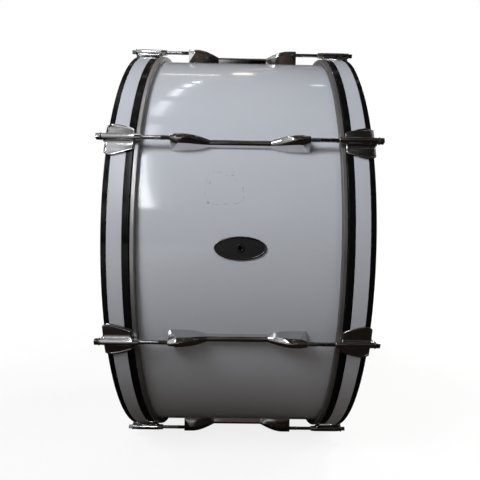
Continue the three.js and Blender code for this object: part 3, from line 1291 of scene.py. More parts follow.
@dataclass(frozen=True)
class Drum:
    """Sizes that several sub-assemblies share."""

    lug_count: int = 8
    wrap_radius: float = 0.3302
    wrap_thickness: float = 0.0008
    shell_radius: float = 0.3291
    shell_inner_radius: float = 0.3211
    bearing_edge: float = 0.1524
    hoop_radius: float = 0.3313
    hoop_outer_radius: float = 0.3389
    hoop_inner_edge: float = 0.1365
    hoop_reach: float = 0.1725
    rod_circle_radius: float = 0.3447
    screw_place: float = 0.062
    screw_radius: float = 0.0025
    seat_gap: float = 0.0003
    vent_place: Span = (0.002, -0.0085)
    vent_hole_radius: float = 0.0036

    @property
    def step(self) -> float:
        """The turn from each lug to the next."""
        return FULL_TURN / self.lug_count

    def turn_of(self, number: int) -> float:
        """How far a numbered lug, claw or rod is turned from the top of the drum."""
        return (number - 0.5) * self.step

    @property
    def numbers(self) -> range:
        """The numbers of the lugs."""
        return range(1, self.lug_count + 1)

    @property
    def rod_lift(self) -> Matrix:
        """The lift from the drum's axis to the top rod's."""
        return Matrix.Translation((0, 0, self.rod_circle_radius))

    def screw_shift(self, side: Side) -> Matrix:
        """The shift from the middle of a lug to one of its two screws."""
        return Matrix.Translation((side.value * self.screw_place, 0, 0))


@dataclass(frozen=True)
class Palette:
    """Every finish on the drum."""

    wrap: WhiteWrap = WhiteWrap()
    lacquer: HoopLacquer = HoopLacquer()
    inlay: InlayStrip = InlayStrip()
    film: HeadFilm = HeadFilm()
    flesh_hoop: FleshHoopMetal = FleshHoopMetal()
    chrome: Chrome = Chrome()
    rod_steel: RodSteel = RodSteel()
    badge: BadgePlate = BadgePlate()
    eyelet: EyeletMetal = EyeletMetal()
    plies: ShellPlies = ShellPlies()


class Workshop:
    """The drum's shared sizes, its finishes and the tools that make pieces."""

    def __init__(self, drum: Drum, palette: Palette) -> None:
        """Builds the Geometry Nodes tools.

        Args:
            drum: The sizes that the parts share.
            palette: The finishes.
        """
        self.drum = drum
        self.palette = palette
        self.lathe = Lathe()
        self.ring = Ring()

    def all_round(self, name: str, part: bpy.types.Mesh) -> bpy.types.Mesh:
        """Repeats a chromed part round the drum, once for each lug."""
        drum, chrome = self.drum, self.palette.chrome
        return self.ring.repeat(name, part, chrome, drum.lug_count, drum.turn_of(1), drum.step)

    def put(self, name: str, mesh: bpy.types.Mesh, finish: Finish, body: str,
            nodes: Sequence[str]) -> None:
        """Gives a piece its finish, the body that it rides on and the CAD nodes that it replaces.

        Args:
            name: The piece's name.
            mesh: Its mesh, in place.
            finish: Its finish.
            body: The CAD body that it moves with.
            nodes: The CAD nodes that it replaces.
        """
        mesh.name = name
        if not mesh.materials:
            mesh.materials.append(finish.material())
        piece = add_object(name, mesh)
        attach(piece, body)
        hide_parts(*nodes)
        log.info("%s: %d faces on %s", name, len(mesh.polygons), body)

    def put_hoop(self, side: Side, name: str, node: str, profile: Profile,
                 finish: Finish) -> None:
        """Turns one of a head's round pieces and puts it at its end.

        Args:
            side: Which end.
            name: The piece's name, without its side.
            node: The CAD node that it replaces, without its side.
            profile: Its profile at the right-hand end.
            finish: Its finish.
        """
        mesh = self.lathe.turn(node, profile, finish)
        mesh.transform(side.turn)
        label = side.label
        self.put(f"{label}_{name}", mesh, finish, f"{label}_head", [f"{label}_{node}"])


@dataclass(frozen=True)
class Barrel:
    """The shell and the wrap round it, drilled for the lug screws and the vent."""

    shop: Workshop
    wrap_end_inset: float = 0.0034
    bearing_inset: float = 0.0025
    bearing_fillet: float = 0.0008
    wrap_fillet: float = 0.0002
    screw_hole_radius: float = 0.0028
    hole_margin: float = 0.006
    line_margin: float = 0.02
    sides: int = 384
    drill_sides: int = 32

    def drills(self, inner: float, outer: float) -> bpy.types.Mesh:
        """The solids that drill through a ring.

        Args:
            inner: The ring's inner radius.
            outer: The ring's outer radius.

        Returns:
            All the drills as one mesh.
        """
        drum = self.shop.drum
        low, high = inner - 2 * OVERRUN, outer + 2 * OVERRUN

        def bar(radius: float) -> bpy.types.Mesh:
            """One upright bar at the top of the drum.

            Args:
                radius: Its radius.

            Returns:
                The closed mesh.
            """
            points = pin(radius, low, high)
            plies = self.shop.palette.plies
            return moved(self.shop.lathe.turn("drill", points, plies, self.drill_sides), UPRIGHT)

        screw, vent = bar(self.screw_hole_radius), bar(drum.vent_hole_radius)
        turns = [Matrix.Rotation(drum.turn_of(number), 4, "X") for number in drum.numbers]
        bars = [moved(screw, turn @ drum.screw_shift(side)) for turn in turns for side in Side]
        x, z = drum.vent_place
        front = Matrix.Rotation(math.pi / 2, 4, "X")
        bars.append(moved(vent, Matrix.Translation((x, 0, z)) @ front))
        return gather("drills", bars)

    def hole_lines(self, radius: float, reach: float) -> Profile:
        """Profile points along one face, with a line on each side of every hole, from -X to +X.

        Args:
            radius: The face's radius.
            reach: Half its length.

        Returns:
            The points.
        """
        drum = self.shop.drum
        middles = (-drum.screw_place, drum.vent_place[0], drum.screw_place)
        places = [middle + side * self.hole_margin for middle in middles for side in (-1, 1)]
        far = reach / 2 + self.line_margin
        return [(radius, place) for place in (-far, *places, far) if abs(place) < reach]

    def build(self) -> None:
        """Makes the shell and the wrap."""
        drum, shop = self.shop.drum, self.shop
        inner, outer, edge = drum.shell_inner_radius, drum.shell_radius, drum.bearing_edge
        bevel = outer - inner - self.bearing_inset
        crest = outer - self.bearing_inset
        fillet = self.bearing_fillet
        corners = [
            (outer, -edge + self.bearing_inset, fillet),
            *[(radius, x, 0.0) for radius, x in self.hole_lines(outer, edge)],
            (outer, edge - self.bearing_inset, fillet),
            (crest, edge, fillet),
            (inner, edge - bevel, fillet),
            *[(radius, x, 0.0) for radius, x in reversed(self.hole_lines(inner, edge))],
            (inner, -edge + bevel, fillet),
            (crest, -edge, fillet),
        ]
        shell = shop.lathe.turn("shell_plies", rounded(corners), shop.palette.plies, self.sides)
        shell = combine(shell, self.drills(inner, outer), Cut.REMOVE)
        shop.put("shell_plies", shell, shop.palette.plies, "drum", ["shell"])
        reach = edge - self.wrap_end_inset
        low, high = drum.wrap_radius - drum.wrap_thickness, drum.wrap_radius
        fillet = self.wrap_fillet
        corners = [
            (high, -reach, fillet),
            *[(radius, x, 0.0) for radius, x in self.hole_lines(high, reach)],
            (high, reach, fillet),
            (low, reach, fillet),
            *[(radius, x, 0.0) for radius, x in reversed(self.hole_lines(low, reach))],
            (low, -reach, fillet),
        ]
        wrap = shop.lathe.turn("wrap_laminate", rounded(corners), shop.palette.wrap, self.sides)
        wrap = combine(wrap, self.drills(low, high), Cut.REMOVE)
        shop.put("wrap_laminate", wrap, shop.palette.wrap, "drum", ["wrap"])


@dataclass(frozen=True)
class Badge:
    """The oval plate, bent to the wrap, with a beaded rim and a bare field, and the vent eyelet."""

    shop: Workshop
    length: float = 0.067
    height: float = 0.030
    rim_width: float = 0.0024
    field_height: float = 0.0013
    rim_height: float = 0.0021
    edge_height: float = 0.0006
    around: int = 144
    rim_steps: int = 10
    field_steps: int = 6
    eyelet_bore: float = 0.0026
    eyelet_wall: float = 0.0007
    flange_radius: float = 0.0052
    flange_thickness: float = 0.0008
    eyelet_fillet: float = 0.00038
    eyelet_sides: int = 72

    def section(self, angle: float) -> list[Point]:
        """One closed section of the plate from its hole to its edge and back underneath.

        Args:
            angle: Where it lies round the oval.

        Returns:
            Points as x and z on the plate, and height over its seat.
        """
        cosine, sine = math.cos(angle), math.sin(angle)

        def oval(inset: float) -> Span:
            """A point of the oval that is drawn in by an inset."""
            return (self.length / 2 - inset) * cosine, (self.height / 2 - inset) * sine

        hole = self.shop.drum.vent_hole_radius
        start, rim = np.array((hole * cosine, hole * sine)), np.array(oval(self.rim_width))
        points = []
        for step in range(self.field_steps + 1):
            spot = start + (rim - start) * step / self.field_steps
            points.append((*spot, self.field_height))
        for step in range(1, self.rim_steps + 1):
            swing = math.pi * step / self.rim_steps
            inset = self.rim_width * (1 + math.cos(swing)) / 2
            bead = (self.rim_height - self.field_height) * math.sin(swing)
            points.append((*oval(inset), self.field_height + bead))
        points.append((*oval(0.0), self.edge_height))
        points.append((*oval(self.edge_height / 2), 0.0))
        points.append((*rim, 0.0))
        points.append((*start, 0.0))
        return points

    def build(self) -> None:
        """Makes the plate and the eyelet."""
        shop, drum = self.shop, self.shop.drum
        seat = drum.wrap_radius + drum.seat_gap
        middle_x, middle_z = drum.vent_place
        sections = []
        for i in range(self.around):
            placed = []
            for x, z, height in self.section(i * FULL_TURN / self.around):
                level = middle_z + z
                placed.append((middle_x + x, -math.sqrt((seat + height) ** 2 - level**2), level))
            sections.append(placed)
        plate = soften(loft("badge_plate", np.array(sections), capped=False))
        shop.put("badge_plate", plate, shop.palette.badge, "drum", ["badge"])
        bore, flange = self.eyelet_bore, self.flange_radius
        tube = bore + self.eyelet_wall
        outer = seat + self.field_height + drum.seat_gap
        inner = drum.shell_inner_radius - drum.seat_gap
        thickness, fillet = self.flange_thickness, self.eyelet_fillet
        small = fillet / 4
        corners = [
            (bore, inner - thickness, fillet),
            (flange, inner - thickness, fillet),
            (flange, inner, small),
            (tube, inner, 0.0),
            (tube, outer, 0.0),
            (flange, outer, small),
            (flange, outer + thickness, fillet),
            (bore, outer + thickness, fillet),
        ]
        finish = shop.palette.eyelet
        eyelet = shop.lathe.turn("vent_grommet", rounded(corners), finish, self.eyelet_sides)
        facing = Matrix.Rotation(-math.pi / 2, 4, "Z")
        eyelet.transform(Matrix.Translation((middle_x, 0, middle_z)) @ facing)
        shop.put("vent_grommet", eyelet, finish, "drum", ["vent_eyelet"])


@dataclass(frozen=True)
class Lugs:
    """Double-ended cast lugs: two bullet casings on a low bar, with two screws in the shell."""

    shop: Workshop
    length: float = 0.180
    casing_length: float = 0.050
    casing_height: float = 0.020
    casing_half: float = 0.0105
    casing_edge_half: float = 0.0075
    casing_end_half: float = 0.0052
    bevel_length: float = 0.0095
    bar_height: float = 0.008
    bar_half: float = 0.0049
    bar_edge_half: float = 0.0041
    level_share: float = 0.25
    edge_height_share: float = 0.68
    crown_power: float = 2.4
    bore_radius: float = 0.0033
    bore_start: float = 0.064
    flank_steps: int = 3
    crown_steps: int = 12
    stations_apart: float = 0.002
    bar_stations: tuple[float, ...] = (-0.6, 0.0, 0.6)
    edge_softness: float = 0.0004
    edge_bend: float = math.radians(11.5)
    washer_radius: float = 0.0065
    washer_thickness: float = 0.0012
    washer_fillet: float = 0.0003
    bore_fillet: float = 0.0001
    head_radius: float = 0.0046
    head_height: float = 0.003
    head_fillet: float = 0.0008
    recess_radii: Span = (0.0017, 0.0019)
    recess_floor: float = 0.45
    crown_radius: float = 0.6
    crown_foot: float = 0.4
    screw_sides: int = 40

    @property
    def half(self) -> float:
        """Half the lug's length."""
        return self.length / 2

    def stations(self) -> list[float]:
        """Places along the lug that get a section, from end to end.

        Returns:
            The places, from the lowest X.
        """
        inner = self.half - self.casing_length
        corner = self.half - self.bevel_length
        steps = round((corner - inner) / self.stations_apart)
        right = [inner + (corner - inner) * step / steps for step in range(steps + 1)]
        ends = round(self.bevel_length / self.stations_apart)
        right += [corner + self.bevel_length * step / ends for step in range(1, ends + 1)]
        bar = [inner * share for share in self.bar_stations]
        return [-x for x in reversed(right)] + bar + right

    def section(self, x: float) -> list[Point]:
        """One closed section: up a flank, over the crown, down the other and back on the wrap.

        Args:
            x: Its place along the lug.

        Returns:
            The points of the loop.
        """
        share = min((self.half - abs(x)) / self.casing_length, 1.0)
        fall = max(share - self.level_share, 0.0) / (1 - self.level_share)
        rise = math.cos(fall * math.pi / 2)
        height = self.bar_height + (self.casing_height - self.bar_height) * rise
        narrowing = math.cos(share * share * math.pi / 2)
        foot = self.bar_half + (self.casing_half - self.bar_half) * narrowing
        edge_half = self.bar_edge_half
        full_edge = edge_half + (self.casing_edge_half - edge_half) * narrowing
        end_edge = edge_half + (self.casing_end_half - edge_half) * narrowing
        bevelled = max((abs(x) - self.half + self.bevel_length) / self.bevel_length, 0.0)
        edge = full_edge + (end_edge - full_edge) * bevelled
        edge_height = height * self.edge_height_share
        crease_share = 1 - bevelled
        crease = (foot + (full_edge - foot) * crease_share, edge_height * crease_share)
        flank = [
            tuple(low + (high - low) * step / self.flank_steps for low, high in zip(*run))
            for run in (((foot, 0.0), crease), (crease, (edge, edge_height)))
            for step in range(self.flank_steps)
        ]
        crown = []
        for step in range(self.crown_steps):
            across = math.cos(step / self.crown_steps * math.pi / 2)
            bulge = 1 - across**self.crown_power
            crown.append((edge * across, edge_height + (height - edge_height) * bulge))
        seat = self.shop.drum.wrap_radius + self.shop.drum.seat_gap
        half = flank + crown
        outline = half + [(0.0, height)] + [(-y, z) for y, z in reversed(half)]
        wrap = self.shop.drum.wrap_radius + self.shop.drum.seat_gap / 6
        outline += [(-foot / 2, 0.0), (0.0, 0.0), (foot / 2, 0.0)]
        return [(x, y, seat + z if z > 0 else math.sqrt(wrap**2 - y**2)) for y, z in outline]

    def fixings(self) -> list[bpy.types.Mesh]:
        """The screws inside the shell, each with its washer.

        Returns:
            One closed mesh for each screw and each washer.
        """
        shop, drum = self.shop, self.shop.drum
        high = drum.shell_inner_radius - drum.seat_gap
        low = high - self.washer_thickness
        bore = drum.screw_radius + drum.seat_gap / 3
        washer = [
            (bore, low, self.bore_fillet),
            (self.washer_radius, low, self.washer_fillet),
            (self.washer_radius, high, self.washer_fillet),
            (bore, high, self.bore_fillet),
        ]
        top = drum.wrap_radius + drum.seat_gap + OVERRUN
        head = low - drum.seat_gap / 6
        crown = head - self.head_height
        recess = head - self.head_height * self.recess_floor
        screw = [
            (0.0, recess, 0.0),
            (self.recess_radii[0], recess, 0.0),
            (self.recess_radii[1], crown, 0.0),
            (self.head_radius * self.crown_radius, crown, self.head_fillet),
            (self.head_radius, head - self.head_height * self.crown_foot, self.head_fillet),
            (self.head_radius, head, self.washer_fillet),
            (drum.screw_radius, head, 0.0),
            (drum.screw_radius, top, 0.0),
            (0.0, top, 0.0),
        ]
        turned = [
            shop.lathe.turn("fixing", rounded(corners), shop.palette.chrome, self.screw_sides)
            for corners in (washer, screw)
        ]
        return [moved(mesh, drum.screw_shift(side) @ UPRIGHT) for mesh in turned for side in Side]

    def casting(self) -> bpy.types.Mesh:
        """The cast body with its two bores and softened edges.

        Returns:
            The closed mesh.
        """
        body = loft("lug_casting", np.array([self.section(x) for x in self.stations()]))
        shop, drum = self.shop, self.shop.drum
        mouth = self.half + OVERRUN
        points = pin(self.bore_radius, self.bore_start, mouth)
        bore = shop.lathe.turn("bore", points, shop.palette.chrome, self.screw_sides)
        for side in Side:
            body = combine(body, moved(bore, drum.rod_lift @ side.turn), Cut.REMOVE)
        round_edges(body, self.edge_softness, self.edge_bend)
        return soften(body)

    def build(self) -> None:
        """Makes one lug and repeats it round the shell."""
        shop, drum = self.shop, self.shop.drum
        lug = gather("lug", [self.casting(), *self.fixings()])
        lugs = shop.all_round("lugs", lug)
        nodes = [f"lug_{number}" for number in drum.numbers]
        shop.put("lugs", lugs, shop.palette.chrome, "drum", nodes)


@dataclass(frozen=True)
class Head:
    """One drumhead: the film and the flesh hoop that grips its collar."""

    shop: Workshop
    film_thickness: float = 0.0004
    film_bend: float = 0.0035
    collar_clearance: float = 0.0004
    film_grip: float = 0.0026
    hoop_depth: float = 0.0062
    hoop_thickness: float = 0.0074
    groove_inset: float = 0.0018
    inner_fillet: float = 0.0014
    outer_fillet: float = 0.0010
    bend_steps: int = 8

    def build(self, side: Side) -> None:
        """Makes the film and flesh hoop of one end.

        Args:
            side: Which end.
        """
        shop, drum = self.shop, self.shop.drum
        gap = drum.seat_gap
        outer_end = drum.hoop_inner_edge - gap
        inner_end = outer_end - self.hoop_depth
        groove = inner_end + self.groove_inset
        collar = drum.wrap_radius + self.collar_clearance
        outside = collar + self.film_thickness
        inner_face = drum.bearing_edge + gap
        outer_face = inner_face + self.film_thickness
        lip = groove + gap
        grip = drum.hoop_radius + self.film_grip
        film = [
            (0.0, inner_face, 0.0),
            (collar, inner_face, self.film_bend),
            (collar, lip, 0.0),
            (grip, lip, 0.0),
            (grip, lip + self.film_thickness, 0.0),
            (outside, lip + self.film_thickness, 0.0),
            (outside, outer_face, self.film_bend + self.film_thickness),
            (0.0, outer_face, 0.0),
        ]
        shop.put_hoop(side, "playing_film", "film", rounded(film, self.bend_steps),
                      shop.palette.film)
        low, high = drum.hoop_radius, drum.hoop_radius + self.hoop_thickness
        deep = drum.hoop_radius + self.film_grip + gap
        groove_end = groove + self.film_thickness + 2 * gap
        small = self.outer_fillet / 4
        ring = [
            (high, inner_end, self.inner_fillet),
            (high, outer_end, self.outer_fillet),
            (low, outer_end, small),
            (low, groove_end, 0.0),
            (deep, groove_end, 0.0),
            (deep, groove, 0.0),
            (low, groove, 0.0),
            (low, inner_end, small),
        ]
        shop.put_hoop(side, "flesh_ring", "flesh_hoop", rounded(ring), shop.palette.flesh_hoop)


@dataclass(frozen=True)
class Counterhoop:
    """One lacquered counterhoop with a white strip let into a channel in its outside."""

    shop: Workshop
    edge_fillet: float = 0.0013
    outer_band: float = 0.0074
    inlay_width: float = 0.019
    inlay_thickness: float = 0.0008
    inlay_recess: float = 0.0001
    inlay_fillet: float = 0.00025
    fillet_steps: int = 6

    def build(self, side: Side) -> None:
        """Makes the hoop and strip of one end.

        Args:
            side: Which end.
        """
        shop, drum = self.shop, self.shop.drum
        gap, fillet = drum.seat_gap, self.edge_fillet
        outer, inner = drum.hoop_outer_radius, drum.hoop_radius
        strip_end = drum.hoop_reach - self.outer_band
        strip_start = strip_end - self.inlay_width
        floor = outer - self.inlay_recess - self.inlay_thickness - gap
        hoop = [
            (outer, drum.hoop_inner_edge, fillet),
            (outer, strip_start - gap, self.inlay_fillet),
            (floor, strip_start - gap, 0.0),
            (floor, strip_end + gap, 0.0),
            (outer, strip_end + gap, self.inlay_fillet),
            (outer, drum.hoop_reach, fillet),
            (inner, drum.hoop_reach, fillet),
            (inner, drum.hoop_inner_edge, fillet),
        ]
        shop.put_hoop(side, "hoop_lacquered", "counterhoop", rounded(hoop, self.fillet_steps),
                      shop.palette.lacquer)
        top = outer - self.inlay_recess
        bottom = top - self.inlay_thickness
        strip = [
            (top, strip_start, self.inlay_fillet),
            (top, strip_end, self.inlay_fillet),
            (bottom, strip_end, 0.0),
            (bottom, strip_start, 0.0),
        ]
        shop.put_hoop(side, "hoop_strip", "inlay", rounded(strip), shop.palette.inlay)


@dataclass(frozen=True)
class Claws:
    """Cast claws: a leaf-shaped plate with a raised border, a hooked lip and the rod's spindle."""

    shop: Workshop
    overhang: float = 0.0002
    half_span: float = 0.025
    inner_half_span: float = 0.0158
    corner: float = 0.0042
    outer_corner: float = 0.0075
    outer_narrowing: float = 0.0034
    field_height: float = 0.0010
    edge_height: float = 0.0004
    border_height: float = 0.0021
    border_width: float = 0.0042
    lip_length: float = 0.0063
    lip_half: float = 0.0105
    lip_spread: float = 0.0105
    saddle_height: float = 0.0048
    saddle_half: float = 0.0034
    saddle_reach: float = 0.0088
    lip_fairing: float = 0.85
    spindle_radius: float = 0.0046
    spindle_end_radius: float = 0.0041
    spindle_taper: float = 0.009
    spindle_outer_reach: float = 0.0026
    spindle_inner_reach: float = 0.0095
    spindle_fillet: float = 0.0007
    spindle_round: float = 0.004
    bore_radius: float = 0.0033
    lip_thickness: float = 0.0022
    spindle_sides: int = 40
    bead_steps: int = 12
    plate_steps: int = 16
    corner_steps: int = 6
    lip_shares: tuple[float, ...] = (0.08, 0.2, 0.35, 0.5, 0.64, 0.76, 0.86, 0.93, 0.97, 1.0)
    lip_power: float = 0.6
    saddle_places: tuple[float, ...] = (
        0.0, 0.0012, 0.0024, 0.0034, 0.0040, 0.0046, 0.0053, 0.0062, 0.0074, 0.0088)
    least_gap: float = 0.0004

    @property
    def skin(self) -> float:
        """Radius of the plate's inner face."""
        return self.shop.drum.hoop_outer_radius + self.shop.drum.seat_gap

    @property
    def lip_face(self) -> float:
        """Place of the lip's inner face along the drum."""
        return self.shop.drum.hoop_reach + self.shop.drum.seat_gap

    def bead_places(self) -> list[float]:
        """Distances from an edge that follow the border's bead, closer where it is steep."""
        return [self.border_width * (1 - math.cos(math.pi * step / self.bead_steps)) / 2
                for step in range(self.bead_steps + 1)]

    def path(self) -> list[tuple[float, float, float, float, float]]:
        """The claw's inner face from its inner end over the corner and down the lip.

        Returns:
            x, radius, the direction of its thickness as an angle from upright, half its width and
            the distance from its nearer end.
        """
        inner_end = self.shop.drum.hoop_inner_edge - self.overhang
        outer_face = self.lip_face + self.lip_thickness
        length = self.lip_face - inner_end
        offsets = self.bead_places()
        bead, rest = offsets[-1], length - offsets[-1]
        offsets += [bead + rest * step / self.plate_steps
                    for step in range(1, self.plate_steps + 1)]
        rows = []
        for offset in offsets:
            share = (outer_face - inner_end - offset) / (outer_face - inner_end)
            spread = (self.half_span - self.inner_half_span) * math.cos(share * math.pi / 2)
            half = self.inner_half_span + spread
            if offset < self.corner:
                half -= self.corner * (1 - math.sqrt(1 - (1 - offset / self.corner) ** 2))
            rounding = max(1 - (length - offset) / self.outer_corner, 0.0)
            half -= self.outer_narrowing * rounding**2
            rows.append((inner_end + offset, self.skin, 0.0, half, offset))
        widest = rows[-1][3]
        shoulder = self.lip_half + self.lip_spread
        for step in range(1, self.corner_steps + 1):
            share = step / self.corner_steps
            half = widest + (shoulder - widest) * share
            rows.append((self.lip_face, self.skin, share * math.pi / 2, half, length))
        for share in self.lip_shares:
            half = self.lip_half + self.lip_spread * (1 - share**2) ** self.lip_power
            level = self.skin - share * self.lip_length
            end = (1 - share) * self.lip_length
            rows.append((self.lip_face, level, math.pi / 2, half, end))
        return rows

    def thickness(self, y: float, half: float, end: float, leaning: float) -> float:
        """Height of the claw's skin over its inner face.

        Args:
            y: Distance from the middle line.
            half: Half the width here.
            end: Distance from the nearer end.
            leaning: 0 on the plate and 1 on the lip.

        Returns:
            The height.
        """
        edge = min(half - abs(y), end)
        field = self.field_height + (self.border_height - self.field_height) * leaning
        share = min(max(edge / self.border_width, 0.0), 1.0)
        bead = math.sqrt(max(1 - (2 * share - 1) ** 2, 0.0))
        foot = self.edge_height + (field - self.edge_height) * min(2 * share, 1.0)
        height = foot + (self.border_height - foot) * bead
        reach = (abs(y) - self.saddle_half) / (self.saddle_reach - self.saddle_half)
        if reach < 1:
            swell = 1.0 if reach <= 0 else 1 - math.sqrt(max(1 - (1 - reach) ** 2, 0.0))
            swell *= 1 - leaning * (1 - self.lip_fairing * min(end / self.lip_length, 1.0))
            height = max(height, height + (self.saddle_height - height) * swell)
        return height

    def section(self, x: float, radius: float, lean: float, half: float,
                end: float) -> list[Point]:
        """One closed section across the claw, over its outside and back along its inner face.

        Args:
            x: Place along the drum.
            radius: Radius of the inner face.
            lean: Direction of the thickness, as an angle from upright towards +X.
            half: Half the width.
            end: Distance from the nearer end.

        Returns:
            The points of the loop.
        """
        outer = [half - place for place in self.bead_places()]
        reach = min(1.0, (outer[-1] - self.least_gap) / self.saddle_reach)
        inner = [place * reach for place in self.saddle_places]
        gap = outer[-1] - inner[-1]
        middle = [inner[-1] + gap * share for share in (0.33, 0.67)]
        side = inner + middle + outer[::-1]
        leaning = math.sin(lean)
        across = [-y for y in reversed(side)] + side[1:]
        loop = [(y, self.thickness(y, half, end, leaning)) for y in across]
        loop += [(half * share, 0.0) for share in (1.0, 0.5, 0.0, -0.5, -1.0)]
        points = []
        for y, height in loop:
            angle = y / self.skin
            level = radius + height * math.cos(lean)
            along = x + height * math.sin(lean)
            points.append((along, level * math.sin(angle), level * math.cos(angle)))
        return points

    def spindle(self) -> tuple[bpy.types.Mesh, bpy.types.Mesh]:
        """The spindle and the bore through it, at the top of the drum.

        Returns:
            The solid spindle and the solid that bores it.
        """
        shop, drum = self.shop, self.shop.drum
        start = drum.hoop_inner_edge - self.spindle_inner_reach
        end = self.lip_face + self.lip_thickness + self.spindle_outer_reach
        thin, thick, taper = self.spindle_end_radius, self.spindle_radius, self.spindle_taper
        corners = [
            (0.0, start, 0.0),
            (thin, start, self.spindle_fillet),
            (thick, start + taper, self.spindle_round),
            (thick, end - taper, self.spindle_round),
            (thin, end, self.spindle_fillet),
            (0.0, end, 0.0),
        ]
        bore = pin(self.bore_radius, start - OVERRUN, end + OVERRUN)
        turned = (
            shop.lathe.turn("spindle", points, shop.palette.chrome, self.spindle_sides)
            for points in (rounded(corners), bore)
        )
        return tuple(moved(mesh, drum.rod_lift) for mesh in turned)

    def casting(self) -> bpy.types.Mesh:
        """The right-hand claw at the top of the drum.

        Returns:
            The closed mesh.
        """
        plate = loft("claw_plate", np.array([self.section(*row) for row in self.path()]))
        spindle, bore = self.spindle()
        joined = combine(plate, spindle, Cut.JOIN)
        return soften(combine(joined, bore, Cut.REMOVE))

    def build(self, side: Side, casting: bpy.types.Mesh) -> None:
        """Repeats the claw round one end.

        Args:
            side: Which end.
            casting: The right-hand claw at the top.
        """
        shop, drum = self.shop, self.shop.drum
        claw = moved(casting, side.turn)
        claws = shop.all_round("claws", claw)
        nodes = [f"{side.label}_claw_{number}" for number in drum.numbers]
        shop.put(f"{side.label}_claws", claws, shop.palette.chrome, f"{side.label}_head", nodes)


@dataclass(frozen=True)
class Rods:
    """Tension rods: a rolled thread, a plain shank, a flange and a square head for the drum key."""

    shop: Workshop
    tip: float = 0.068
    point_length: float = 0.001
    point_radius: float = 0.0021
    thread_radius: float = 0.003
    thread_depth: float = 0.00058
    thread_end: float = 0.102
    pitch: float = 0.001
    shank_radius: float = 0.00265
    flange_face: float = 0.1779
    flange_radius: float = 0.005
    flange_thickness: float = 0.0013
    flange_fillet: float = 0.0004
    key_side: float = 0.00635
    key_length: float = 0.006
    key_chamfer: float = 0.0007
    key_corner: float = 0.0005
    shank_fillet: float = 0.0003
    flange_steps: int = 4
    sides: int = 24
    crease: float = math.radians(38)

    def key_head(self, rim: float) -> bpy.types.Mesh:
        """The square head, on the drum's axis.

        Args:
            rim: Where the flange ends.

        Returns:
            The closed mesh, which starts inside the flange.
        """
        half = self.key_side / 2
        top = rim + self.key_length
        key = block((rim - self.flange_thickness / 2, -half, -half), (top, half, half))
        work = bmesh.new()
        work.from_mesh(key)

        def bevel(edges: list[bmesh.types.BMEdge], width: float, segments: int) -> None:
            """Rounds some of its edges."""
            bmesh.ops.bevel(work, geom=edges, offset=width, segments=segments, profile=0.5,
                            affect="EDGES")

        level = [edge for edge in work.edges
                 if abs(edge.verts[0].co.x - edge.verts[1].co.x) > self.key_length / 2]
        bevel(level, self.key_corner, 3)
        end = [edge for edge in work.edges
               if all(abs(vert.co.x - top) < MERGE_DISTANCE for vert in edge.verts)]
        bevel(end, self.key_chamfer, 2)
        work.to_mesh(key)
        work.free()
        return key

    def steel(self) -> bpy.types.Mesh:
        """The right-hand rod at the top of the drum.

        Returns:
            The closed mesh.
        """
        shop = self.shop
        thread_start = self.tip + self.point_length
        thread = Thread(self.pitch, self.thread_depth, thread_start, self.thread_end)
        rim = self.flange_face + self.flange_thickness
        flange = rounded([
            (self.shank_radius, self.flange_face, self.shank_fillet),
            (self.flange_radius, self.flange_face, self.flange_fillet),
            (self.flange_radius, rim, self.flange_fillet),
            (0.0, rim, 0.0),
            (0.0, self.thread_end, 0.0),
            (self.shank_radius, self.thread_end, 0.0),
        ], self.flange_steps)[:-2]
        points = [
            (self.tip, 0.0, 0.0),
            (self.tip, 0.0, self.point_radius),
            *thread.rows(self.thread_radius),
            (self.thread_end + self.pitch / 2, 0.0, self.shank_radius),
            *[(x, 0.0, radius) for radius, x in flange],
        ]
        round_part = shop.lathe.turn("rod_round", points, shop.palette.chrome, self.sides, thread,
                                     self.crease)
        rod = combine(round_part, self.key_head(rim), Cut.JOIN)
        rod.shade_smooth()
        rod.set_sharp_from_angle(angle=self.crease)
        rod.transform(shop.drum.rod_lift)
        return rod

    def build(self, side: Side, steel: bpy.types.Mesh) -> None:
        """Puts each rod of one end in its place, on a body of its own.

        Args:
            side: Which end.
            steel: The right-hand rod at the top.
        """
        shop, drum = self.shop, self.shop.drum
        rod = moved(steel, side.turn)
        for number in drum.numbers:
            name = f"{side.label}_rod_{number}"
            finish, turn = shop.palette.rod_steel, drum.turn_of(number)
            mesh = shop.ring.repeat(name, rod, finish, 1, turn, 0.0)
            shop.put(f"{name}_steel", mesh, finish, name, [name])


@dataclass(frozen=True)
class PhotoView:
    """The camera at the photograph's place, as fitted to the picture in its own pixels."""

    eye: Point = (0.0040, -0.8960, -0.0054)
    yaw: float = math.radians(0.63)
    pitch: float = math.radians(-1.23)
    roll: float = math.radians(0.86)
    focal_pixels: float = 447.3
    frame_pixels: float = 480.0
    axis_offset: Span = (6.8, 15.5)
    sensor: float = 36.0
    clip: Span = (0.01, 100.0)

    def build(self) -> None:
        """Makes the camera and looks through it."""
        forward = Vector((
            math.sin(self.yaw) * math.cos(self.pitch),
            math.cos(self.yaw) * math.cos(self.pitch),
            math.sin(self.pitch),
        ))
        level = Vector((math.cos(self.yaw), -math.sin(self.yaw), 0.0))
        upward = level.cross(forward)
        right = level * math.cos(self.roll) + upward * math.sin(self.roll)
        up = -level * math.sin(self.roll) + upward * math.cos(self.roll)
        data = bpy.data.cameras.new("photo_view")
        data.sensor_width = self.sensor
        data.lens = self.focal_pixels / self.frame_pixels * self.sensor
        data.shift_x = -self.axis_offset[0] / self.frame_pixels
        data.shift_y = self.axis_offset[1] / self.frame_pixels
        data.clip_start, data.clip_end = self.clip
        camera = bpy.data.objects.new("photo_view", data)
        bpy.context.scene.collection.objects.link(camera)
        turned = Matrix((right, up, -forward)).transposed().to_4x4()
        camera.matrix_world = Matrix.Translation(self.eye) @ turned
        bpy.context.scene.camera = camera


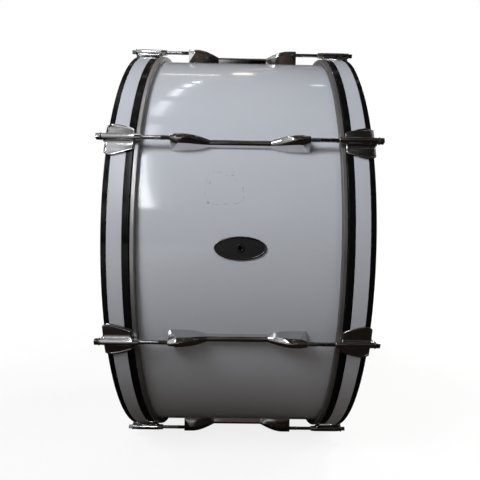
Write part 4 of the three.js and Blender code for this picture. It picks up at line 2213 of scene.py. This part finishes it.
@dataclass(frozen=True)
class Lamp:
    """A soft rectangular lamp that looks at a point. Metal mirrors it unless it is told not to."""

    name: str
    place: Point
    target: Point
    width: float
    height: float
    power: float
    color: Light = PLAIN_LIGHT
    turn: float = 0.0
    mirrored: bool = True

    def build(self) -> None:
        """Hangs the lamp."""
        data = bpy.data.lights.new(self.name, "AREA")
        data.shape = "RECTANGLE"
        data.size = self.width
        data.size_y = self.height
        data.energy = self.power
        data.color = self.color
        lamp = bpy.data.objects.new(self.name, data)
        lamp.visible_glossy = self.mirrored
        bpy.context.scene.collection.objects.link(lamp)
        aim = Vector(self.target) - Vector(self.place)
        facing = aim.to_track_quat("-Z", "Y").to_matrix().to_4x4()
        turn = Matrix.Rotation(self.turn, 4, "Z")
        lamp.matrix_world = Matrix.Translation(self.place) @ facing @ turn


@dataclass(frozen=True)
class Panel:
    """A glowing panel of the ceiling, by its middle, its width and depth, and its power."""

    x: float
    y: float
    width: float
    depth: float
    power: float


@dataclass(frozen=True)
class Studio:
    """A pale floor, a white backdrop behind the drum, a dimmer room round it and soft lamps.

    A span tells where something starts and where it is full: in metres on the floor, and as parts
    of a direction in the room, which the drum's metal and gloss mirror.
    """

    floor_level: float = -0.3389
    floor_half: float = 12.0
    floor_color: Color = (0.20, 0.196, 0.192, 1.0)
    floor_bounce: Color = (0.190, 0.168, 0.150, 1.0)
    floor_in_metal: Color = (0.015, 0.011, 0.009, 1.0)
    near_glow: float = 0.84
    glow_reach: Span = (0.55, 2.2)
    glow_behind: Span = (-0.2, 0.8)
    window_glow: float = 0.5
    window_glow_ahead: Span = (-0.45, -2.2)
    window_glow_left: Span = (-0.12, -0.35)
    room_level: float = 0.03
    room_color: Color = (0.085, 0.062, 0.052, 1.0)
    dark_side: Color = (0.014, 0.012, 0.011, 1.0)
    dark_side_from: Span = (0.02, 0.18)
    clutter: Pattern = Pattern(3.2, 3.0, 0.6, (0.36, 0.64))
    window_wall: Color = (0.97, 0.98, 1.0, 1.0)
    window_bars: Pattern = Pattern(7.0, shows=(0.44, 0.56))
    bar_contrast: float = 0.82
    window_near: Span = (-0.19, -0.25)
    window_far: Span = (-0.8, -0.5)
    window_back: Span = (0.35, 0.0)
    window_foot: Span = (0.02, 0.25)
    window_top: Span = (0.3, 0.95)
    window_top_fall: float = 0.4
    end_walls: Span = (0.84, 0.96)
    end_wall_shine: float = 0.25
    specks: Pattern = Pattern(10.0, 3.0, 0.6, (0.60, 0.68))
    speck_level: float = 0.5
    backdrop_back: Span = (-0.1, 0.45)
    backdrop_up: Span = (0.46, 0.14)
    ceiling: float = 2.0
    warm_from: float = 0.6
    panel_turn: float = math.radians(-10)
    panels: tuple[Panel, ...] = (
        Panel(-0.515, -1.075, 0.066, 0.31, 0.26),
        Panel(-0.432, -0.470, 0.064, 0.42, 0.38),
        Panel(-0.349, 0.005, 0.046, 0.24, 0.19),
        Panel(-0.294, 0.260, 0.040, 0.135, 0.12),
        Panel(-0.249, 0.412, 0.031, 0.080, 0.075),
        Panel(0.400, 0.370, 0.060, 0.035, 0.045),
        Panel(-0.300, 0.800, 0.340, 0.050, 0.19),
        Panel(-0.005, 0.930, 0.115, 0.160, 0.19),
        Panel(-0.200, 0.600, 0.520, 0.100, 0.06),
    )
    lamps: tuple[Lamp, ...] = (
        Lamp("front_window", (-0.850, -2.9, 1.97), (-0.850, 0.0, 1.1), 0.100, 2.0, 9.8,
             DAYLIGHT, math.radians(5.5)),
        Lamp("left_key", (-0.78, -1.40, 1.05), MIDDLE, 0.4, 0.8, 13.5, DAYLIGHT, mirrored=False),
        Lamp("left_glint", (-1.06, -1.20, 1.03), MIDDLE, 0.25, 0.4, 4.2, DAYLIGHT),
        Lamp("right_key", (1.1, -1.5, 1.2), MIDDLE, 0.6, 0.8, 4.2, SOFT_DAYLIGHT, mirrored=False),
        Lamp("left_softbox", (-2.8, 1.0, 1.2), MIDDLE, 1.2, 1.2, 14.0, mirrored=False),
        Lamp("right_softbox", (2.8, 0.6, 1.3), MIDDLE, 1.2, 1.2, 34.0, mirrored=False),
        Lamp("back_softbox", (1.7, 1.9, 1.9), MIDDLE, 0.9, 0.9, 34.0),
    )

    @staticmethod
    def rays(graph: Graph) -> tuple[Wire, Wire]:
        """Flags for the camera's rays, and for the rays that show the room in metal or glass.

        Args:
            graph: The graph of a material or of the world.

        Returns:
            The two flags, each 0 or 1.
        """
        path = graph.node("ShaderNodeLightPath")
        names = ("Is Camera Ray", "Is Glossy Ray", "Is Transmission Ray")
        seen, glossy, passing = (Wire(graph, path.outputs[name]) for name in names)
        return seen, glossy.most(passing) * (1 - seen)

    def floor(self) -> None:
        """Lays the floor, which keeps the drum's shadow, is white far off and clear from below."""
        half = self.floor_half
        mesh = bpy.data.meshes.new("floor")
        corners = [(x, y, self.floor_level)
                   for x, y in ((-half, -half), (half, -half), (half, half), (-half, half))]
        mesh.from_pydata(corners, [], [(0, 1, 2, 3)])
        material = bpy.data.materials.new("pale_floor")
        material.use_nodes = True
        material.node_tree.nodes.clear()
        graph = Graph(material.node_tree)
        x, y, _ = graph.parts(graph.point())
        away = ((x * x + y * y) ** 0.5).between(*self.glow_reach)
        seen, mirrored = self.rays(graph)
        glow = (self.near_glow + away * (1 - self.near_glow)) * seen
        behind = away * y.between(*self.glow_behind)
        ahead = y.between(*self.window_glow_ahead)
        by_window = ahead * x.between(*self.window_glow_left) * self.window_glow
        gleam = (behind + by_window) * mirrored
        unseen = graph.mix(mirrored, self.floor_bounce, self.floor_in_metal)
        tone = graph.mix(seen, unseen, self.floor_color)
        matt = graph.add("ShaderNodeBsdfDiffuse", None, {"Color": tone})
        shine = {"Color": grey(1.0), "Strength": glow + gleam}
        light = graph.add("ShaderNodeEmission", None, shine)
        both = graph.add("ShaderNodeAddShader", None, {0: matt, 1: light})
        underneath = graph.add("ShaderNodeNewGeometry", None, None, "Backfacing")
        clear = graph.add("ShaderNodeBsdfTransparent", None, {"Color": grey(1.0)})
        one_sided = graph.add("ShaderNodeMixShader", None, {0: underneath, 1: both, 2: clear})
        graph.node("ShaderNodeOutputMaterial", None, {"Surface": one_sided})
        mesh.materials.append(material)
        add_object("floor", mesh)

    def window(self, graph: Graph, toward: Wire, bars: Wire) -> Wire:
        """How much of the barred window at the front left is in a direction.

        Args:
            graph: The world's graph.
            toward: The direction.
            bars: The bars' pattern.

        Returns:
            A share from 0 to 1.
        """
        side, back, up = graph.parts(toward)
        fall = 1.0 - up.between(*self.window_top) * self.window_top_fall
        barred = bars * self.bar_contrast + (1 - self.bar_contrast)
        level = up.between(*self.window_foot) * fall * barred
        across = side.between(*self.window_near) * side.between(*self.window_far)
        return across * back.between(*self.window_back) * level

    def surround(self) -> None:
        """Lights the room dimly, with white for the camera and a low backdrop behind in metal."""
        world = bpy.data.worlds.new("white_room")
        world.use_nodes = True
        world.node_tree.nodes.clear()
        graph = Graph(world.node_tree)
        toward = graph.add("ShaderNodeTexCoord", None, None, "Generated")
        side, back, up = graph.parts(toward)
        room = graph.mix(side.between(*self.dark_side_from), self.room_color, self.dark_side)
        uneven = graph.mix(self.clutter.on(graph, toward), self.dark_side, room)
        bars = self.window_bars.on(graph, toward)
        windowed = graph.mix(self.window(graph, toward, bars), uneven, self.window_wall)
        shine = abs(side).between(*self.end_walls) * bars * self.end_wall_shine
        specks = self.specks.on(graph, toward) * self.speck_level
        front = graph.mix(shine.most(specks), windowed, grey(1.0))
        backdrop = back.between(*self.backdrop_back) * up.between(*self.backdrop_up)
        seen, mirrored = self.rays(graph)
        color = graph.mix(mirrored * (1 - backdrop), grey(1.0), front)
        strength = seen + mirrored + (1 - seen) * (1 - mirrored) * self.room_level
        shade = graph.add("ShaderNodeBackground", None, {"Color": color, "Strength": strength})
        graph.node("ShaderNodeOutputWorld", None, {"Surface": shade})
        bpy.context.scene.world = world

    def build(self) -> None:
        """Sets up the room, its lamps and the plain view transform."""
        bpy.context.scene.view_settings.view_transform = "Standard"
        self.floor()
        self.surround()
        for lamp in self.lamps:
            lamp.build()
        for number, panel in enumerate(self.panels, 1):
            cool = panel.y < self.warm_from
            turn = self.panel_turn if cool and panel.x < 0 else 0.0
            Lamp(
                f"ceiling_panel_{number}",
                (panel.x, panel.y, self.ceiling),
                (panel.x, panel.y, 0.0),
                panel.width,
                panel.depth,
                panel.power,
                DAYLIGHT if cool else WARM_LIGHT,
                turn,
            ).build()


def main() -> None:
    """Loads the frame, makes the camera and every piece, and sets up the studio."""
    logging.basicConfig(level=logging.INFO, format="%(message)s")
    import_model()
    PhotoView().build()
    shop = Workshop(Drum(), Palette())
    Barrel(shop).build()
    Badge(shop).build()
    Lugs(shop).build()
    claws, rods = Claws(shop), Rods(shop)
    casting, steel = claws.casting(), rods.steel()
    for side in Side:
        Head(shop).build(side)
        Counterhoop(shop).build(side)
        claws.build(side, casting)
        rods.build(side, steel)
    Studio().build()


if __name__ == "__main__":
    main()
